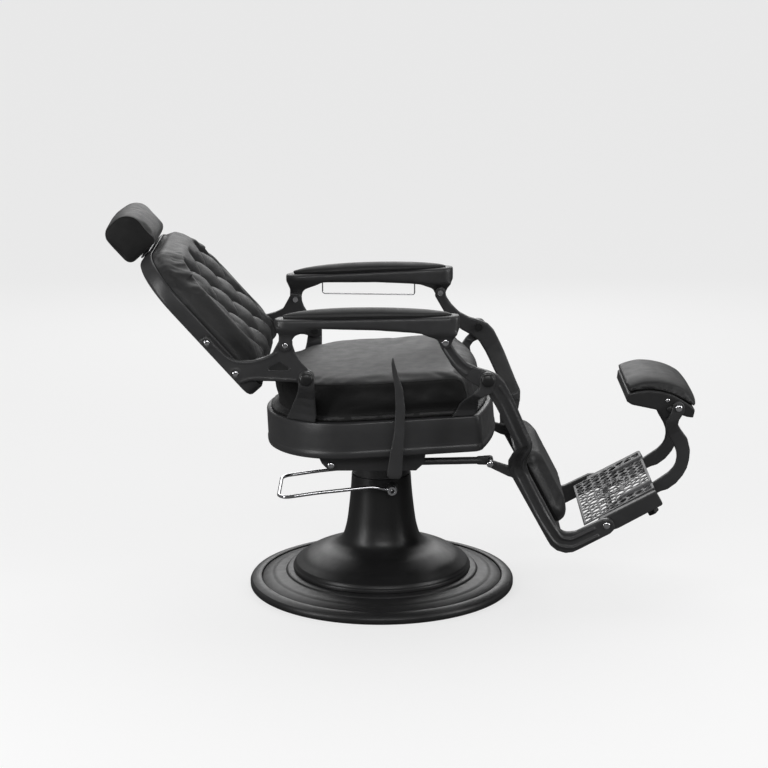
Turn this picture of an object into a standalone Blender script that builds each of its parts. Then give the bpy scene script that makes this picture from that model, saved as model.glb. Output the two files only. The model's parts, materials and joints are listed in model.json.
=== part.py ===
"""Hydraulic barber chair, shown fully reclined with the seat at its lowest.

Metres, +Z up.  +X is the way the sitter faces, +Y is the sitter's left.
The origin is the middle of the base, on the floor.
Side pieces end in _r (the sitter's right, -Y) or _l (the sitter's left, +Y).
"""
import math

import bmesh
import bpy
from mathutils import Vector

# ---------------------------------------------------------------- driving dimensions
FIT = 0.0003                 # gap between pieces that touch

BASE_R = 0.330               # outer radius of the floor ring
PLATE_R = 0.2995             # outer radius of the base plate
BELL_R = 0.222               # outer radius of the column skirt where it meets the plate
PLATE_TOP = 0.0415           # height of the base plate under the skirt
COLUMN_TOP = 0.2847          # where the fixed column ends and the swivel hub begins
HUB_R = 0.0714
RAM_R = 0.030
CYLINDER_R = 0.050
PUMP_AXIS = (0.027, 0.265)   # x, z of the pump handle's axis

SEAT_Z = 0.3875              # height of the seat box's underside above the origin
SEAT_TILT = math.radians(3.5)
SEAT_HALF = 0.243            # half width of the seat box
SEAT_REAR_X = -0.050         # centre of the rounded rear
SEAT_REAR_R = 0.230
SEAT_FRONT_X = 0.247         # front wall at its corners
SEAT_BOW = 0.036             # how far the front wall bows out at the middle
BOX_HEIGHT = 0.089

BACK_ANGLE = math.radians(131.5)   # back's direction from +X, fully reclined
BACK_FOOT = (-0.3058, 0.5373)      # x, z of the back's lower rear edge
BACK_LENGTH = 0.402
BACK_HALF = 0.2575
BACK_SHELL_DEPTH = 0.038

PIVOT_A = (-0.1720, 0.5912)  # x, z: back plate on rear bracket
PIVOT_B = (-0.2200, 0.6718)  # x, z: armrest on back plate
PIVOT_C = (0.1523, 0.6832)   # x, z: armrest on leg arm
PIVOT_D = (0.2511, 0.5935)   # x, z: leg arm on front bracket
PIVOT_E = (0.5430, 0.2080)   # x, z: foot tray on leg arms
PIVOT_F = (0.7175, 0.4824)   # x, z: foot pad on extension bars
CRANK_PIN = (0.2618, 0.3620)  # x, z: lock cylinder on the right leg arm
LOCK_ANCHOR = (-0.1189, 0.3554)  # x, z: lock rod on the underframe
LEVER_AXIS = (0.0340, 0.3660)

PLATE_Y = (0.2580, 0.2720)   # inner and outer face of each back plate
BRACKET_Y = (0.2735, 0.2875)  # rear bracket eyes
FRONT_EYE_Y = (0.3003, 0.3128)  # front bracket eyes
LEG_Y = 0.290                # middle of the leg arms above the knee
SHIN_Y = 0.199               # middle of the leg arms below the knee
ARM_T = 0.016                # thickness of leg arms and armrest feet
LOCK_Y = -0.170              # plane of the lock cylinder
BAR_Y = 0.112                # middle of the extension bars

SHIN_ANGLE = math.radians(-62.5)
CALF_TOP = (0.3174, 0.3908)  # x, z of the calf plate's upper rear edge
TRAY_ANGLE = math.radians(29.0)

SIDES = (("r", -1), ("l", 1))


# ---------------------------------------------------------------- frames and outlines
class Frame:
    """A tilted frame in the XZ plane: a runs along it, h stands off it."""

    def __init__(self, origin, angle, flip=False):
        self.origin = origin
        self.along = (math.cos(angle), math.sin(angle))
        sign = -1 if flip else 1
        self.off = (-sign * math.sin(angle), sign * math.cos(angle))

    def xz(self, a, h):
        return (self.origin[0] + a * self.along[0] + h * self.off[0],
                self.origin[1] + a * self.along[1] + h * self.off[1])

    def point(self, a, y, h):
        x, z = self.xz(a, h)
        return (x, y, z)


SEAT = Frame((0.0, SEAT_Z), SEAT_TILT)
BACK = Frame(BACK_FOOT, BACK_ANGLE, flip=True)
CALF = Frame(CALF_TOP, SHIN_ANGLE)
TRAY = Frame(PIVOT_E, TRAY_ANGLE)


def arc(cx, cy, radius, start, end, steps):
    """Points on a circle from start to end, both in degrees."""
    angles = [math.radians(start + (end - start) * k / steps) for k in range(steps + 1)]
    return [(cx + radius * math.cos(t), cy + radius * math.sin(t)) for t in angles]


def rounded(corners, steps=4):
    """A closed outline whose corners (x, y, radius) are rounded off."""
    points = []
    count = len(corners)
    for k, (x, y, radius) in enumerate(corners):
        here = Vector((x, y))
        if radius == 0:
            points.append((x, y))
            continue
        before = (Vector(corners[k - 1][:2]) - here).normalized()
        after = (Vector(corners[(k + 1) % count][:2]) - here).normalized()
        half = before.angle(after) / 2
        centre = here + (before + after).normalized() * (radius / math.sin(half))
        first = here + before * (radius / math.tan(half)) - centre
        last = here + after * (radius / math.tan(half)) - centre
        turn = math.atan2(first.x * last.y - first.y * last.x, first.dot(last))
        start = math.degrees(math.atan2(first.y, first.x))
        points += arc(centre.x, centre.y, radius, start, start + math.degrees(turn), steps)
    return points


def inset_rounded(half_w, low, high, radii, inset, steps=4):
    """A rectangle across y from low to high, with its four corner radii, inset."""
    low_r, high_r = radii
    w = half_w - inset
    lo, hi = low + inset, high - inset
    return rounded([(-w, lo, max(low_r - inset, 0.001)), (w, lo, max(low_r - inset, 0.001)),
                    (w, hi, max(high_r - inset, 0.001)), (-w, hi, max(high_r - inset, 0.001))],
                   steps)


def seat_plan(inset, front_inset, rear_inset, rear_steps=14, bow_steps=6):
    """Plan of the seat: round rear, straight sides, bowed front."""
    half = SEAT_HALF - inset
    corner = 0.016
    front = SEAT_FRONT_X - front_inset
    reach = SEAT_REAR_R - rear_inset
    points = [(x, y * half / reach) for x, y in
              arc(SEAT_REAR_X, 0, reach, 90, 270, rear_steps)]
    points += arc(front - corner, -half + corner, corner, -90, 0, 3)
    flat = half - corner
    for k in range(1, bow_steps):
        y = -flat + 2 * flat * k / bow_steps
        points.append((front + SEAT_BOW * (1 - (y / flat) ** 2), y))
    points += arc(front - corner, half - corner, corner, 0, 90, 3)
    return points


# ---------------------------------------------------------------- mesh helpers
def loft(rings, closed=False):
    """Skin rings of 3-D points with the same count; the ends are capped unless closed."""
    bm = bmesh.new()
    rows = [[bm.verts.new(p) for p in ring] for ring in rings]
    count = len(rows[0])
    pairs = list(zip(rows, rows[1:]))
    if closed:
        pairs.append((rows[-1], rows[0]))
    for low, high in pairs:
        for k in range(count):
            j = (k + 1) % count
            bm.faces.new((low[k], low[j], high[j], high[k]))
    if not closed:
        bm.faces.new(rows[0])
        bm.faces.new(rows[-1])
    bmesh.ops.recalc_face_normals(bm, faces=bm.faces)
    return bm


def turned(profile, origin, axis, steps):
    """Turn (radius, distance) points about an axis; ends at radius 0 close to a point."""
    axis = Vector(axis).normalized()
    side = Vector((0, 0, 1)).cross(axis)
    if side.length < 1e-6:
        side = Vector((1, 0, 0))
    side.normalize()
    other = axis.cross(side)
    origin = Vector(origin)
    bm = bmesh.new()
    rows = []
    for radius, distance in profile:
        centre = origin + axis * distance
        if radius == 0:
            rows.append([bm.verts.new(centre)] * steps)
            continue
        ring = []
        for k in range(steps):
            t = 2 * math.pi * k / steps
            ring.append(bm.verts.new(centre + radius * (side * math.cos(t) + other * math.sin(t))))
        rows.append(ring)
    pairs = list(zip(rows, rows[1:]))
    solid = profile[0][0] == 0 and profile[-1][0] == 0
    if not solid:
        pairs.append((rows[-1], rows[0]))
    for low, high in pairs:
        for k in range(steps):
            j = (k + 1) % steps
            corners = []
            for vert in (low[k], low[j], high[j], high[k]):
                if vert not in corners:
                    corners.append(vert)
            bm.faces.new(corners)
    bmesh.ops.recalc_face_normals(bm, faces=bm.faces)
    return bm


def plate(outline, y0, y1):
    """An XZ outline made into a plate between two y planes."""
    return loft([[(x, y, z) for x, z in outline] for y in (y0, y1)])


def strip(stations, side):
    """A bar of four-cornered sections: (edge xz, other edge xz, middle y, thickness)."""
    rings = []
    for edge, other, y, thick in stations:
        inner, outer = side * (y - thick / 2), side * (y + thick / 2)
        rings.append([(edge[0], inner, edge[1]), (other[0], inner, other[1]),
                      (other[0], outer, other[1]), (edge[0], outer, edge[1])])
    return loft(rings)


def wire(points, radius, steps=8):
    """A round rod along a path; each section is square to the path's mean direction."""
    points = [Vector(p) for p in points]
    rings = []
    up = None
    for k, here in enumerate(points):
        ahead = (points[min(k + 1, len(points) - 1)] - here)
        behind = (here - points[max(k - 1, 0)])
        first = behind.normalized() if behind.length else ahead.normalized()
        second = ahead.normalized() if ahead.length else first
        tangent = (first + second).normalized()
        stretch = 1 / max(tangent.dot(first), 0.7)
        if up is None:
            up = tangent.orthogonal().normalized()
        up = (up - tangent * up.dot(tangent)).normalized()
        across = tangent.cross(up)
        bend = (second - first)
        ring = []
        for j in range(steps):
            t = 2 * math.pi * j / steps
            offset = radius * (up * math.cos(t) + across * math.sin(t))
            if bend.length > 1e-6:
                out = bend.normalized()
                offset += out * offset.dot(out) * (stretch - 1)
            ring.append(here + offset)
        rings.append(ring)
    return loft(rings)


def box(x0, x1, y0, y1, z0, z1):
    ring = [(x0, y0), (x1, y0), (x1, y1), (x0, y1)]
    return loft([[(x, y, z) for x, y in ring] for z in (z0, z1)])


# ---------------------------------------------------------------- scene, materials, pivots
def clear_scene():
    for item in list(bpy.data.objects):
        bpy.data.objects.remove(item, do_unlink=True)


def material(name, colour, metallic, roughness):
    made = bpy.data.materials.new(name)
    made.use_nodes = True
    shader = made.node_tree.nodes["Principled BSDF"]
    shader.inputs["Base Color"].default_value = (*colour, 1)
    shader.inputs["Metallic"].default_value = metallic
    shader.inputs["Roughness"].default_value = roughness
    return made


MATERIALS = {}
PIVOTS = {}


def make_materials():
    for name, colour, metallic, roughness in (
            ("black_paint", (0.020, 0.020, 0.021), 0.0, 0.42),
            ("cast_black", (0.022, 0.022, 0.023), 0.0, 0.48),
            ("leatherette", (0.018, 0.018, 0.019), 0.0, 0.50),
            ("chrome", (0.80, 0.80, 0.82), 1.0, 0.10),
            ("steel", (0.45, 0.45, 0.46), 1.0, 0.35),
            ("bronze", (0.50, 0.36, 0.18), 1.0, 0.40),
            ("plywood", (0.45, 0.32, 0.19), 0.0, 0.65),
            ("black_plastic", (0.015, 0.015, 0.015), 0.0, 0.45)):
        MATERIALS[name] = material(name, colour, metallic, roughness)


def pivot(name, location, parent=None):
    """An empty on a joint's axis, which the joint's pieces hang from."""
    empty = bpy.data.objects.new(name, None)
    bpy.context.collection.objects.link(empty)
    location = Vector(location)
    PIVOTS[name] = (empty, location)
    if parent:
        parent_empty, parent_location = PIVOTS[parent]
        empty.parent = parent_empty
        empty.location = location - parent_location
    else:
        empty.location = location
    return empty


def make_pivots():
    pivot("base_frame", (0, 0, 0))
    pivot("lift", (0, 0, COLUMN_TOP), "base_frame")
    pivot("swivel", (0, 0, COLUMN_TOP), "lift")
    pivot("recline", (PIVOT_A[0], 0, PIVOT_A[1]), "swivel")
    pivot("headrest_slide", BACK.point(BACK_LENGTH, 0, 0.015), "recline")
    for side, sign in SIDES:
        pivot("armrest_swing_" + side, (PIVOT_B[0], sign * 0.28, PIVOT_B[1]), "recline")
    pivot("leg_swing", (PIVOT_D[0], 0, PIVOT_D[1]), "swivel")
    pivot("tray_fold", (PIVOT_E[0], 0, PIVOT_E[1]), "leg_swing")
    pivot("bars_slide", TRAY.point(0.05, 0, 0), "tray_fold")
    pivot("pad_tilt", (PIVOT_F[0], 0, PIVOT_F[1]), "bars_slide")
    pivot("knob_turn", TRAY.point(0.110, -BAR_Y, -0.040), "tray_fold")
    pivot("lock_swing", (LOCK_ANCHOR[0], LOCK_Y, LOCK_ANCHOR[1]), "swivel")
    pivot("lock_slide", (CRANK_PIN[0], LOCK_Y, CRANK_PIN[1]), "lock_swing")
    pivot("pump_swing", (PUMP_AXIS[0], 0, PUMP_AXIS[1]), "base_frame")
    pivot("lever_swing", (LEVER_AXIS[0], -0.29, LEVER_AXIS[1]), "swivel")


def node(name, bm, finish, group, smooth=35):
    """Turn a mesh in world coordinates into a named piece on its joint's empty."""
    empty, location = PIVOTS[group]
    bmesh.ops.translate(bm, verts=bm.verts, vec=-location)
    mesh = bpy.data.meshes.new(name)
    bm.to_mesh(mesh)
    bm.free()
    mesh.materials.append(MATERIALS[finish])
    mesh.shade_smooth()
    mesh.set_sharp_from_angle(angle=math.radians(smooth))
    piece = bpy.data.objects.new(name, mesh)
    bpy.context.collection.objects.link(piece)
    piece.parent = empty
    return piece


def tool(piece, bm, operation):
    """Cut a shape out of a piece, or join it on, with a hidden helper."""
    mesh = bpy.data.meshes.new(piece.name + "_tool")
    bm.to_mesh(mesh)
    bm.free()
    helper = bpy.data.objects.new(piece.name + "_tool", mesh)
    bpy.context.collection.objects.link(helper)
    helper.hide_render = True
    helper.display_type = "WIRE"
    step = piece.modifiers.new(operation.lower(), "BOOLEAN")
    step.operation = operation
    step.solver = "EXACT"
    step.object = helper


def bore_y(piece, xz, radius, y0, y1, steps=12):
    """A round hole along y; radius is the distance to its flats."""
    corner = radius / math.cos(math.pi / steps)
    profile = [(0, 0), (corner, 0), (corner, abs(y1 - y0)), (0, abs(y1 - y0))]
    tool(piece, turned(profile, (xz[0], min(y0, y1), xz[1]), (0, 1, 0), steps), "DIFFERENCE")


def bolt_y(name, xz, sign, inner, shank, outer, finish, group, steps=12):
    """A bolt along y: inner and outer are (radius, near y, far y), shank is a radius."""
    nut_r, nut_start, nut_end = inner
    head_r, head_start, head_end = outer
    crown = 0.7 * head_r
    profile = [(0, nut_start), (nut_r, nut_start), (nut_r, nut_end), (shank, nut_end),
               (shank, head_start), (head_r, head_start),
               (head_r, head_start + 0.45 * (head_end - head_start)),
               (crown, head_start + 0.85 * (head_end - head_start)), (0, head_end)]
    return node(name, turned(profile, (xz[0], 0, xz[1]), (0, sign, 0), steps), finish, group)


# ---------------------------------------------------------------- base and lift
def make_base():
    profile = [(0, 0), (0.060, 0), (0.066, 0.028), (0.215, 0.026), (0.276, 0.012), (0.285, 0),
               (PLATE_R, 0), (PLATE_R, 0.020), (0.285, 0.026), (0.240, 0.035), (0.226, 0.0400),
               (0.200, PLATE_TOP), (0, PLATE_TOP)]
    node("base_plate", turned(profile, (0, 0, 0), (0, 0, 1), 40), "cast_black", "base_frame")

    inner = PLATE_R + FIT
    profile = [(inner, 0), (0.327, 0), (BASE_R, 0.004), (BASE_R, 0.012), (0.323, 0.020),
               (0.307, 0.0245), (inner, 0.0225)]
    node("base_trim_ring", turned(profile, (0, 0, 0), (0, 0, 1), 40), "black_paint", "base_frame")

    foot = PLATE_TOP + FIT
    profile = [(BELL_R, foot), (BELL_R, 0.0505), (0.216, 0.058), (0.198, 0.071), (0.184, 0.082),
               (0.150, 0.0925), (0.118, 0.101), (0.104, 0.109), (0.0945, 0.120), (0.0885, 0.135),
               (0.0815, 0.180), (0.0760, 0.245), (0.0735, COLUMN_TOP), (0.0685, COLUMN_TOP),
               (0.0710, 0.245), (0.0765, 0.180), (0.0835, 0.135), (0.110, 0.096), (0.175, 0.075),
               (0.206, 0.056), (0.214, foot)]
    skirt = node("column_skirt", turned(profile, (0, 0, 0), (0, 0, 1), 32), "black_paint",
                 "base_frame")
    for _, sign in SIDES:
        boss = turned([(0, 0.062), (0.0125, 0.062), (0.0125, 0.088), (0, 0.088)],
                      (PUMP_AXIS[0], 0, PUMP_AXIS[1]), (0, sign, 0), 12)
        tool(skirt, boss, "UNION")
    for _, sign in SIDES:
        bore_y(skirt, PUMP_AXIS, 0.0050, sign * 0.055, sign * 0.095, 8)

    profile = [(CYLINDER_R, foot), (CYLINDER_R, 0.232), (RAM_R + 0.006, 0.232),
               (RAM_R + 0.006, foot)]
    node("pump_cylinder", turned(profile, (0, 0, 0), (0, 0, 1), 20), "steel", "base_frame")
    profile = [(CYLINDER_R, 0.232 + FIT), (CYLINDER_R, 0.246), (RAM_R + FIT, 0.246),
               (RAM_R + FIT, 0.210), (RAM_R + 0.0057, 0.210), (RAM_R + 0.0057, 0.232 + FIT)]
    node("guide_bush", turned(profile, (0, 0, 0), (0, 0, 1), 20), "bronze", "base_frame")


def make_lift():
    profile = [(0, 0.060), (RAM_R - 0.003, 0.060), (RAM_R, 0.064), (RAM_R, 0.318), (0, 0.318)]
    node("ram", turned(profile, (0, 0, 0), (0, 0, 1), 20), "chrome", "lift")
    profile = [(RAM_R - 0.012, 0.318 + FIT), (RAM_R, 0.318 + FIT), (RAM_R, 0.330),
               (RAM_R - 0.012, 0.330)]
    node("thrust_bearing", turned(profile, (0, 0, 0), (0, 0, 1), 20), "steel", "lift")


def make_pump_handle():
    """A chrome U of round bar that straddles the column, its ends turned into the bosses."""
    x, z = PUMP_AXIS
    reach, half, bar = 0.252, 0.100, 0.0045
    right = [(x, -0.058, z), (x, -half + 0.006, z), (x - 0.003, -half + 0.001, z + 0.0005),
             (x - 0.016, -half, z + 0.004), (x - 0.046, -half, z + 0.009),
             (x - 0.080, -half, z + 0.0065), (x - 0.186, -half, z - 0.005),
             (-reach + 0.024, -half, z - 0.0140)]
    corner = [(-reach + 0.008, -half + 0.007, z - 0.0155), (-reach, -half + 0.026, z - 0.0165)]
    path = right + corner
    path += [(px, -py, pz) for px, py, pz in reversed(path)]
    node("pump_handle", wire(path, bar, 10), "chrome", "pump_swing")


# ---------------------------------------------------------------- swivel hub and seat
def make_underframe():
    profile = [(HUB_R, COLUMN_TOP + FIT), (HUB_R, 0.3677), (0.020, 0.3677), (0.020, 0.3303),
               (RAM_R + FIT, 0.3303), (RAM_R + FIT, COLUMN_TOP + FIT)]
    node("swivel_hub", turned(profile, (0, 0, 0), (0, 0, 1), 32), "black_paint", "swivel")

    rear, front, below = -0.150, 0.110, 0.342
    top = [SEAT.xz(rear, -FIT), SEAT.xz(front, -FIT)]
    outline = [top[0], (-0.141, 0.3600), (-0.124, below), (0.085, below), (0.104, 0.3600), top[1]]
    frame = node("underframe", plate(outline, -0.190, 0.190), "black_paint", "swivel")
    tool(frame, box(-0.2, 0.2, -0.182, 0.182, 0.300, 0.3695), "DIFFERENCE")
    # headroom over the lock cylinder, which rises as it slides back
    relief = [(-0.070, 0.340), (0.120, 0.340), (0.120, 0.3815), (-0.070, 0.3697)]
    tool(frame, plate(relief, -0.1821, -0.157), "DIFFERENCE")
    bore_y(frame, LOCK_ANCHOR, 0.0043, -0.196, -0.176, 8)
    bore_y(frame, LEVER_AXIS, 0.0063, -0.196, -0.176, 10)

    profile = [(0, 0.1590), (0.0080, 0.1590), (0.0080, 0.1625), (0.0040, 0.1625),
               (0.0040, 0.1903), (0.0085, 0.1903), (0.0085, 0.1930), (0.0050, 0.1955),
               (0, 0.1960)]
    node("lock_anchor_bolt", turned(profile, (LOCK_ANCHOR[0], 0, LOCK_ANCHOR[1]), (0, -1, 0), 12),
         "chrome", "swivel")


def seat_ring(height, inset, front_inset=None, rear_inset=None):
    if front_inset is None:
        front_inset = inset
        rear_inset = inset
    return [SEAT.point(x, y, height) for x, y in seat_plan(inset, front_inset, rear_inset)]


def make_seat():
    lip = BOX_HEIGHT - 0.006
    levels = [(0.000, 0.005), (0.006, 0.000), (BOX_HEIGHT - 0.002, 0.003), (BOX_HEIGHT, 0.005),
              (BOX_HEIGHT, 0.030), (lip, 0.030), (lip, 0.009), (0.006, 0.006)]
    node("seat_box", loft([seat_ring(h, inset) for h, inset in levels]), "black_paint", "swivel")

    board = BOX_HEIGHT + FIT
    node("seat_board", loft([seat_ring(board, 0.017), seat_ring(board + 0.008, 0.017)]),
         "plywood", "swivel")

    foot = board + 0.008 + FIT
    levels = [(foot, 0.019, 0.040, 0.028), (0.125, 0.012, 0.034, 0.026),
              (0.160, -0.003, 0.024, 0.020), (0.176, -0.006, 0.026, 0.018),
              (0.184, 0.000, 0.034, 0.024), (0.189, 0.018, 0.050, 0.042),
              (0.192, 0.060, 0.090, 0.085)]
    node("seat_cushion", loft([seat_ring(*level) for level in levels]), "leatherette", "swivel")


def make_front_bracket(side, sign):
    """A swept strap from the box rim, out past the leg arm, to an eye at pivot D."""
    thick = 0.0125
    eye_y = sum(FRONT_EYE_Y) / 2
    rim = BOX_HEIGHT + FIT
    x, z = PIVOT_D
    stations = [(SEAT.xz(0.1745, rim), SEAT.xz(0.2270, rim), 0.2350, thick),
                ((0.181, 0.5060), (0.229, 0.5050), 0.2400, thick),
                ((0.187, 0.5220), (0.231, 0.5180), 0.2540, thick),
                ((0.196, 0.5360), (0.231, 0.5290), 0.2720, thick),
                ((0.206, 0.5470), (0.229, 0.5405), 0.2900, thick),
                ((0.217, 0.5590), (0.239, 0.5505), eye_y, thick),
                ((x - 0.0200, 0.5740), (x + 0.0100, 0.5610), eye_y, thick),
                ((x - 0.0190, 0.5880), (x + 0.0180, 0.5880), eye_y, thick),
                ((x - 0.0155, z + 0.0095), (x + 0.0155, z + 0.0095), eye_y, thick),
                ((x - 0.0070, z + 0.0165), (x + 0.0070, z + 0.0165), eye_y, thick)]
    piece = node("front_bracket_" + side, strip(stations, sign), "cast_black", "swivel")
    bore_y(piece, PIVOT_D, 0.0063, sign * 0.296, sign * 0.318)


def make_rear_bracket(side, sign):
    """A foot along the curved rim that twists up to an eye at pivot A."""
    y0, y1 = BRACKET_Y
    x, z = PIVOT_A
    rim_rear = SEAT.xz(-0.222, BOX_HEIGHT + FIT)
    rim_front = SEAT.xz(-0.150, BOX_HEIGHT + FIT)

    def section(rear, front, rear_y, front_y, thick):
        return [(rear[0], sign * (rear_y - thick), rear[1]),
                (front[0], sign * (front_y - thick), front[1]),
                (front[0], sign * front_y, front[1]), (rear[0], sign * rear_y, rear[1])]

    rings = [section(rim_rear, rim_front, 0.1550, 0.2165, 0.0110),
             section((-0.216, 0.4860), (-0.151, 0.4860), 0.1760, 0.2260, 0.013),
             section((-0.208, 0.5100), (-0.152, 0.5100), 0.2050, 0.2410, 0.014),
             section((-0.199, 0.5350), (-0.153, 0.5350), 0.2390, 0.2590, 0.014),
             section((-0.193, 0.5560), (x + 0.0185, 0.5560), 0.2730, 0.2790, 0.014),
             section((x - 0.0185, 0.5720), (x + 0.0185, 0.5720), y1, y1, y1 - y0),
             section((x - 0.0185, z), (x + 0.0185, z), y1, y1, y1 - y0),
             section((x - 0.0150, z + 0.011), (x + 0.0150, z + 0.011), y1, y1, y1 - y0),
             section((x - 0.0065, z + 0.0175), (x + 0.0065, z + 0.0175), y1, y1, y1 - y0)]
    piece = node("rear_bracket_" + side, loft(rings), "cast_black", "swivel")
    bore_y(piece, PIVOT_A, 0.0063, sign * 0.268, sign * 0.294)


def make_lever():
    """The tapering recline release lever beside the seat, on a short cross shaft."""
    x, z = LEVER_AXIS
    y = 0.293
    stations = [((x - 0.0120, 0.3510), (x + 0.0120, 0.3510), y, 0.012),
                ((x - 0.0180, 0.3600), (x + 0.0170, 0.3600), y, 0.016),
                ((x - 0.0170, 0.3740), (x + 0.0175, 0.3740), y, 0.016),
                ((0.0235, 0.4150), (0.0540, 0.4150), y, 0.016),
                ((0.0330, 0.4660), (0.0575, 0.4660), y, 0.015),
                ((0.0360, 0.5210), (0.0590, 0.5210), y, 0.013),
                ((0.0350, 0.5680), (0.0540, 0.5680), y, 0.011),
                ((0.0290, 0.6050), (0.0420, 0.6050), y, 0.008),
                ((0.0265, 0.6300), (0.0350, 0.6300), y, 0.006),
                ((0.0290, 0.6440), (0.0325, 0.6440), y, 0.004)]
    piece = node("side_lever", strip(stations, -1), "cast_black", "lever_swing")
    profile = [(0, 0.1815), (0.0060, 0.1815), (0.0060, 0.1925), (0.0100, 0.1925),
               (0.0100, 0.2900), (0, 0.2900)]
    tool(piece, turned(profile, (x, 0, z), (0, -1, 0), 10), "UNION")


# ---------------------------------------------------------------- back and headrest
def make_back_plate(side, sign):
    """Triangular crank that carries the back, the armrest's rear pivot and pivot A."""
    eye_b = arc(*PIVOT_B, 0.0170, 165, -15, 6)
    eye_a = arc(*PIVOT_A, 0.0185, 45, -100, 6)
    outline = [(-0.423, 0.6790), (-0.4040, 0.6925), (-0.3610, 0.6460), (-0.3460, 0.6355),
               (-0.3280, 0.6310), (-0.2980, 0.6320), (-0.2710, 0.6390), (-0.2520, 0.6480)]
    outline += eye_b + [(-0.1930, 0.6370), (-0.1750, 0.6140)] + eye_a
    outline += [(-0.1980, 0.5800), (-0.3010, 0.5840), (-0.3320, 0.5750)]
    piece = node("back_plate_" + side, plate(outline, sign * PLATE_Y[0], sign * PLATE_Y[1]),
                 "cast_black", "recline")
    for xz, radius in ((PIVOT_A, 0.0063), (PIVOT_B, 0.0043)):
        bore_y(piece, xz, radius, sign * 0.250, sign * 0.280)
    for xz in BACK_BOLTS:
        bore_y(piece, xz, 0.0038, sign * 0.250, sign * 0.280, 8)


BACK_BOLTS = ((-0.4030, 0.6750), (-0.3380, 0.6010))


def back_ring(depth, inset, low=0.0, high=BACK_LENGTH, corner=0.130):
    outline = inset_rounded(BACK_HALF, low, high, (0.030, corner), inset, 6)
    return [BACK.point(t, y, depth) for y, t in outline]


def make_back():
    levels = [(0.000, 0.009), (0.003, 0.003), (0.009, 0.000), (BACK_SHELL_DEPTH, 0.000),
              (BACK_SHELL_DEPTH, 0.003), (0.004, 0.004)]
    shell = node("back_shell", loft([back_ring(d, inset) for d, inset in levels]),
                 "black_paint", "recline")
    for _, sign in SIDES:
        base = Vector(BACK.point(BACK_LENGTH - 0.02, sign * HEADREST_POST_Y, HEADREST_POST_D))
        hole = turned([(0, 0), (0.0064, 0), (0.0064, 0.04), (0, 0.04)], base,
                      (BACK.along[0], 0, BACK.along[1]), 10)
        tool(shell, hole, "DIFFERENCE")
        for xz in BACK_BOLTS:
            bore_y(shell, xz, 0.0038, sign * 0.246, sign * 0.262, 8)

    levels = [(0.0245, 0.0045), (0.0440, 0.0040), (0.0620, 0.0080), (0.0750, 0.0220),
              (0.0850, 0.0480), (0.0885, 0.0800)]
    node("back_cushion", loft([back_ring(d, inset) for d, inset in levels]), "leatherette",
         "recline")

    for side, sign in SIDES:
        make_back_plate(side, sign)
        for place, xz in zip(("upper", "lower"), BACK_BOLTS):
            bolt_y(f"back_bolt_{place}_{side}", xz, sign, (0.0035, 0.2475, 0.2500), 0.0035,
                   (0.0068, 0.2723, 0.2755), "chrome", "recline", 10)


HEADREST_POST_Y = 0.060
HEADREST_POST_D = 0.0145


def make_headrest():
    steps = ((-0.1120, 0.0100), (-0.1040, 0.0), (0.1040, 0.0), (0.1120, 0.0100))
    low, high, rear, front = 0.4075, 0.5170, -0.0280, 0.0670
    rings = []
    for y, inset in steps:
        outline = rounded([(low + inset, rear + inset, 0.014), (high - inset, rear + inset, 0.022),
                           (high - inset, front - inset, 0.038), (low + inset, front - inset, 0.012)],
                          5)
        rings.append([BACK.point(t, y, d) for t, d in outline])
    node("headrest_cushion", loft(rings), "leatherette", "headrest_slide")

    plate_low, plate_high = BACK_LENGTH + 0.0006, low - FIT
    base = [BACK.point(plate_low, y, d) for y, d in
            ((-0.080, 0.002), (0.080, 0.002), (0.080, 0.028), (-0.080, 0.028))]
    top = [BACK.point(plate_high, y, d) for y, d in
           ((-0.080, 0.002), (0.080, 0.002), (0.080, 0.028), (-0.080, 0.028))]
    piece = node("headrest_bracket", loft([base, top]), "steel", "headrest_slide")
    for _, sign in SIDES:
        foot = BACK.point(0.245, sign * HEADREST_POST_Y, HEADREST_POST_D)
        length = plate_low + 0.002 - 0.245
        post = turned([(0, 0), (0.0060, 0), (0.0060, length), (0, length)], foot,
                      (BACK.along[0], 0, BACK.along[1]), 10)
        tool(piece, post, "UNION")


# ---------------------------------------------------------------- armrests
def armrest_top(x):
    return 0.7355 + 0.031 * (x + 0.23)


def armrest_mid(x):
    return 0.2815 + 0.066 * (x - PIVOT_B[0])


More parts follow.
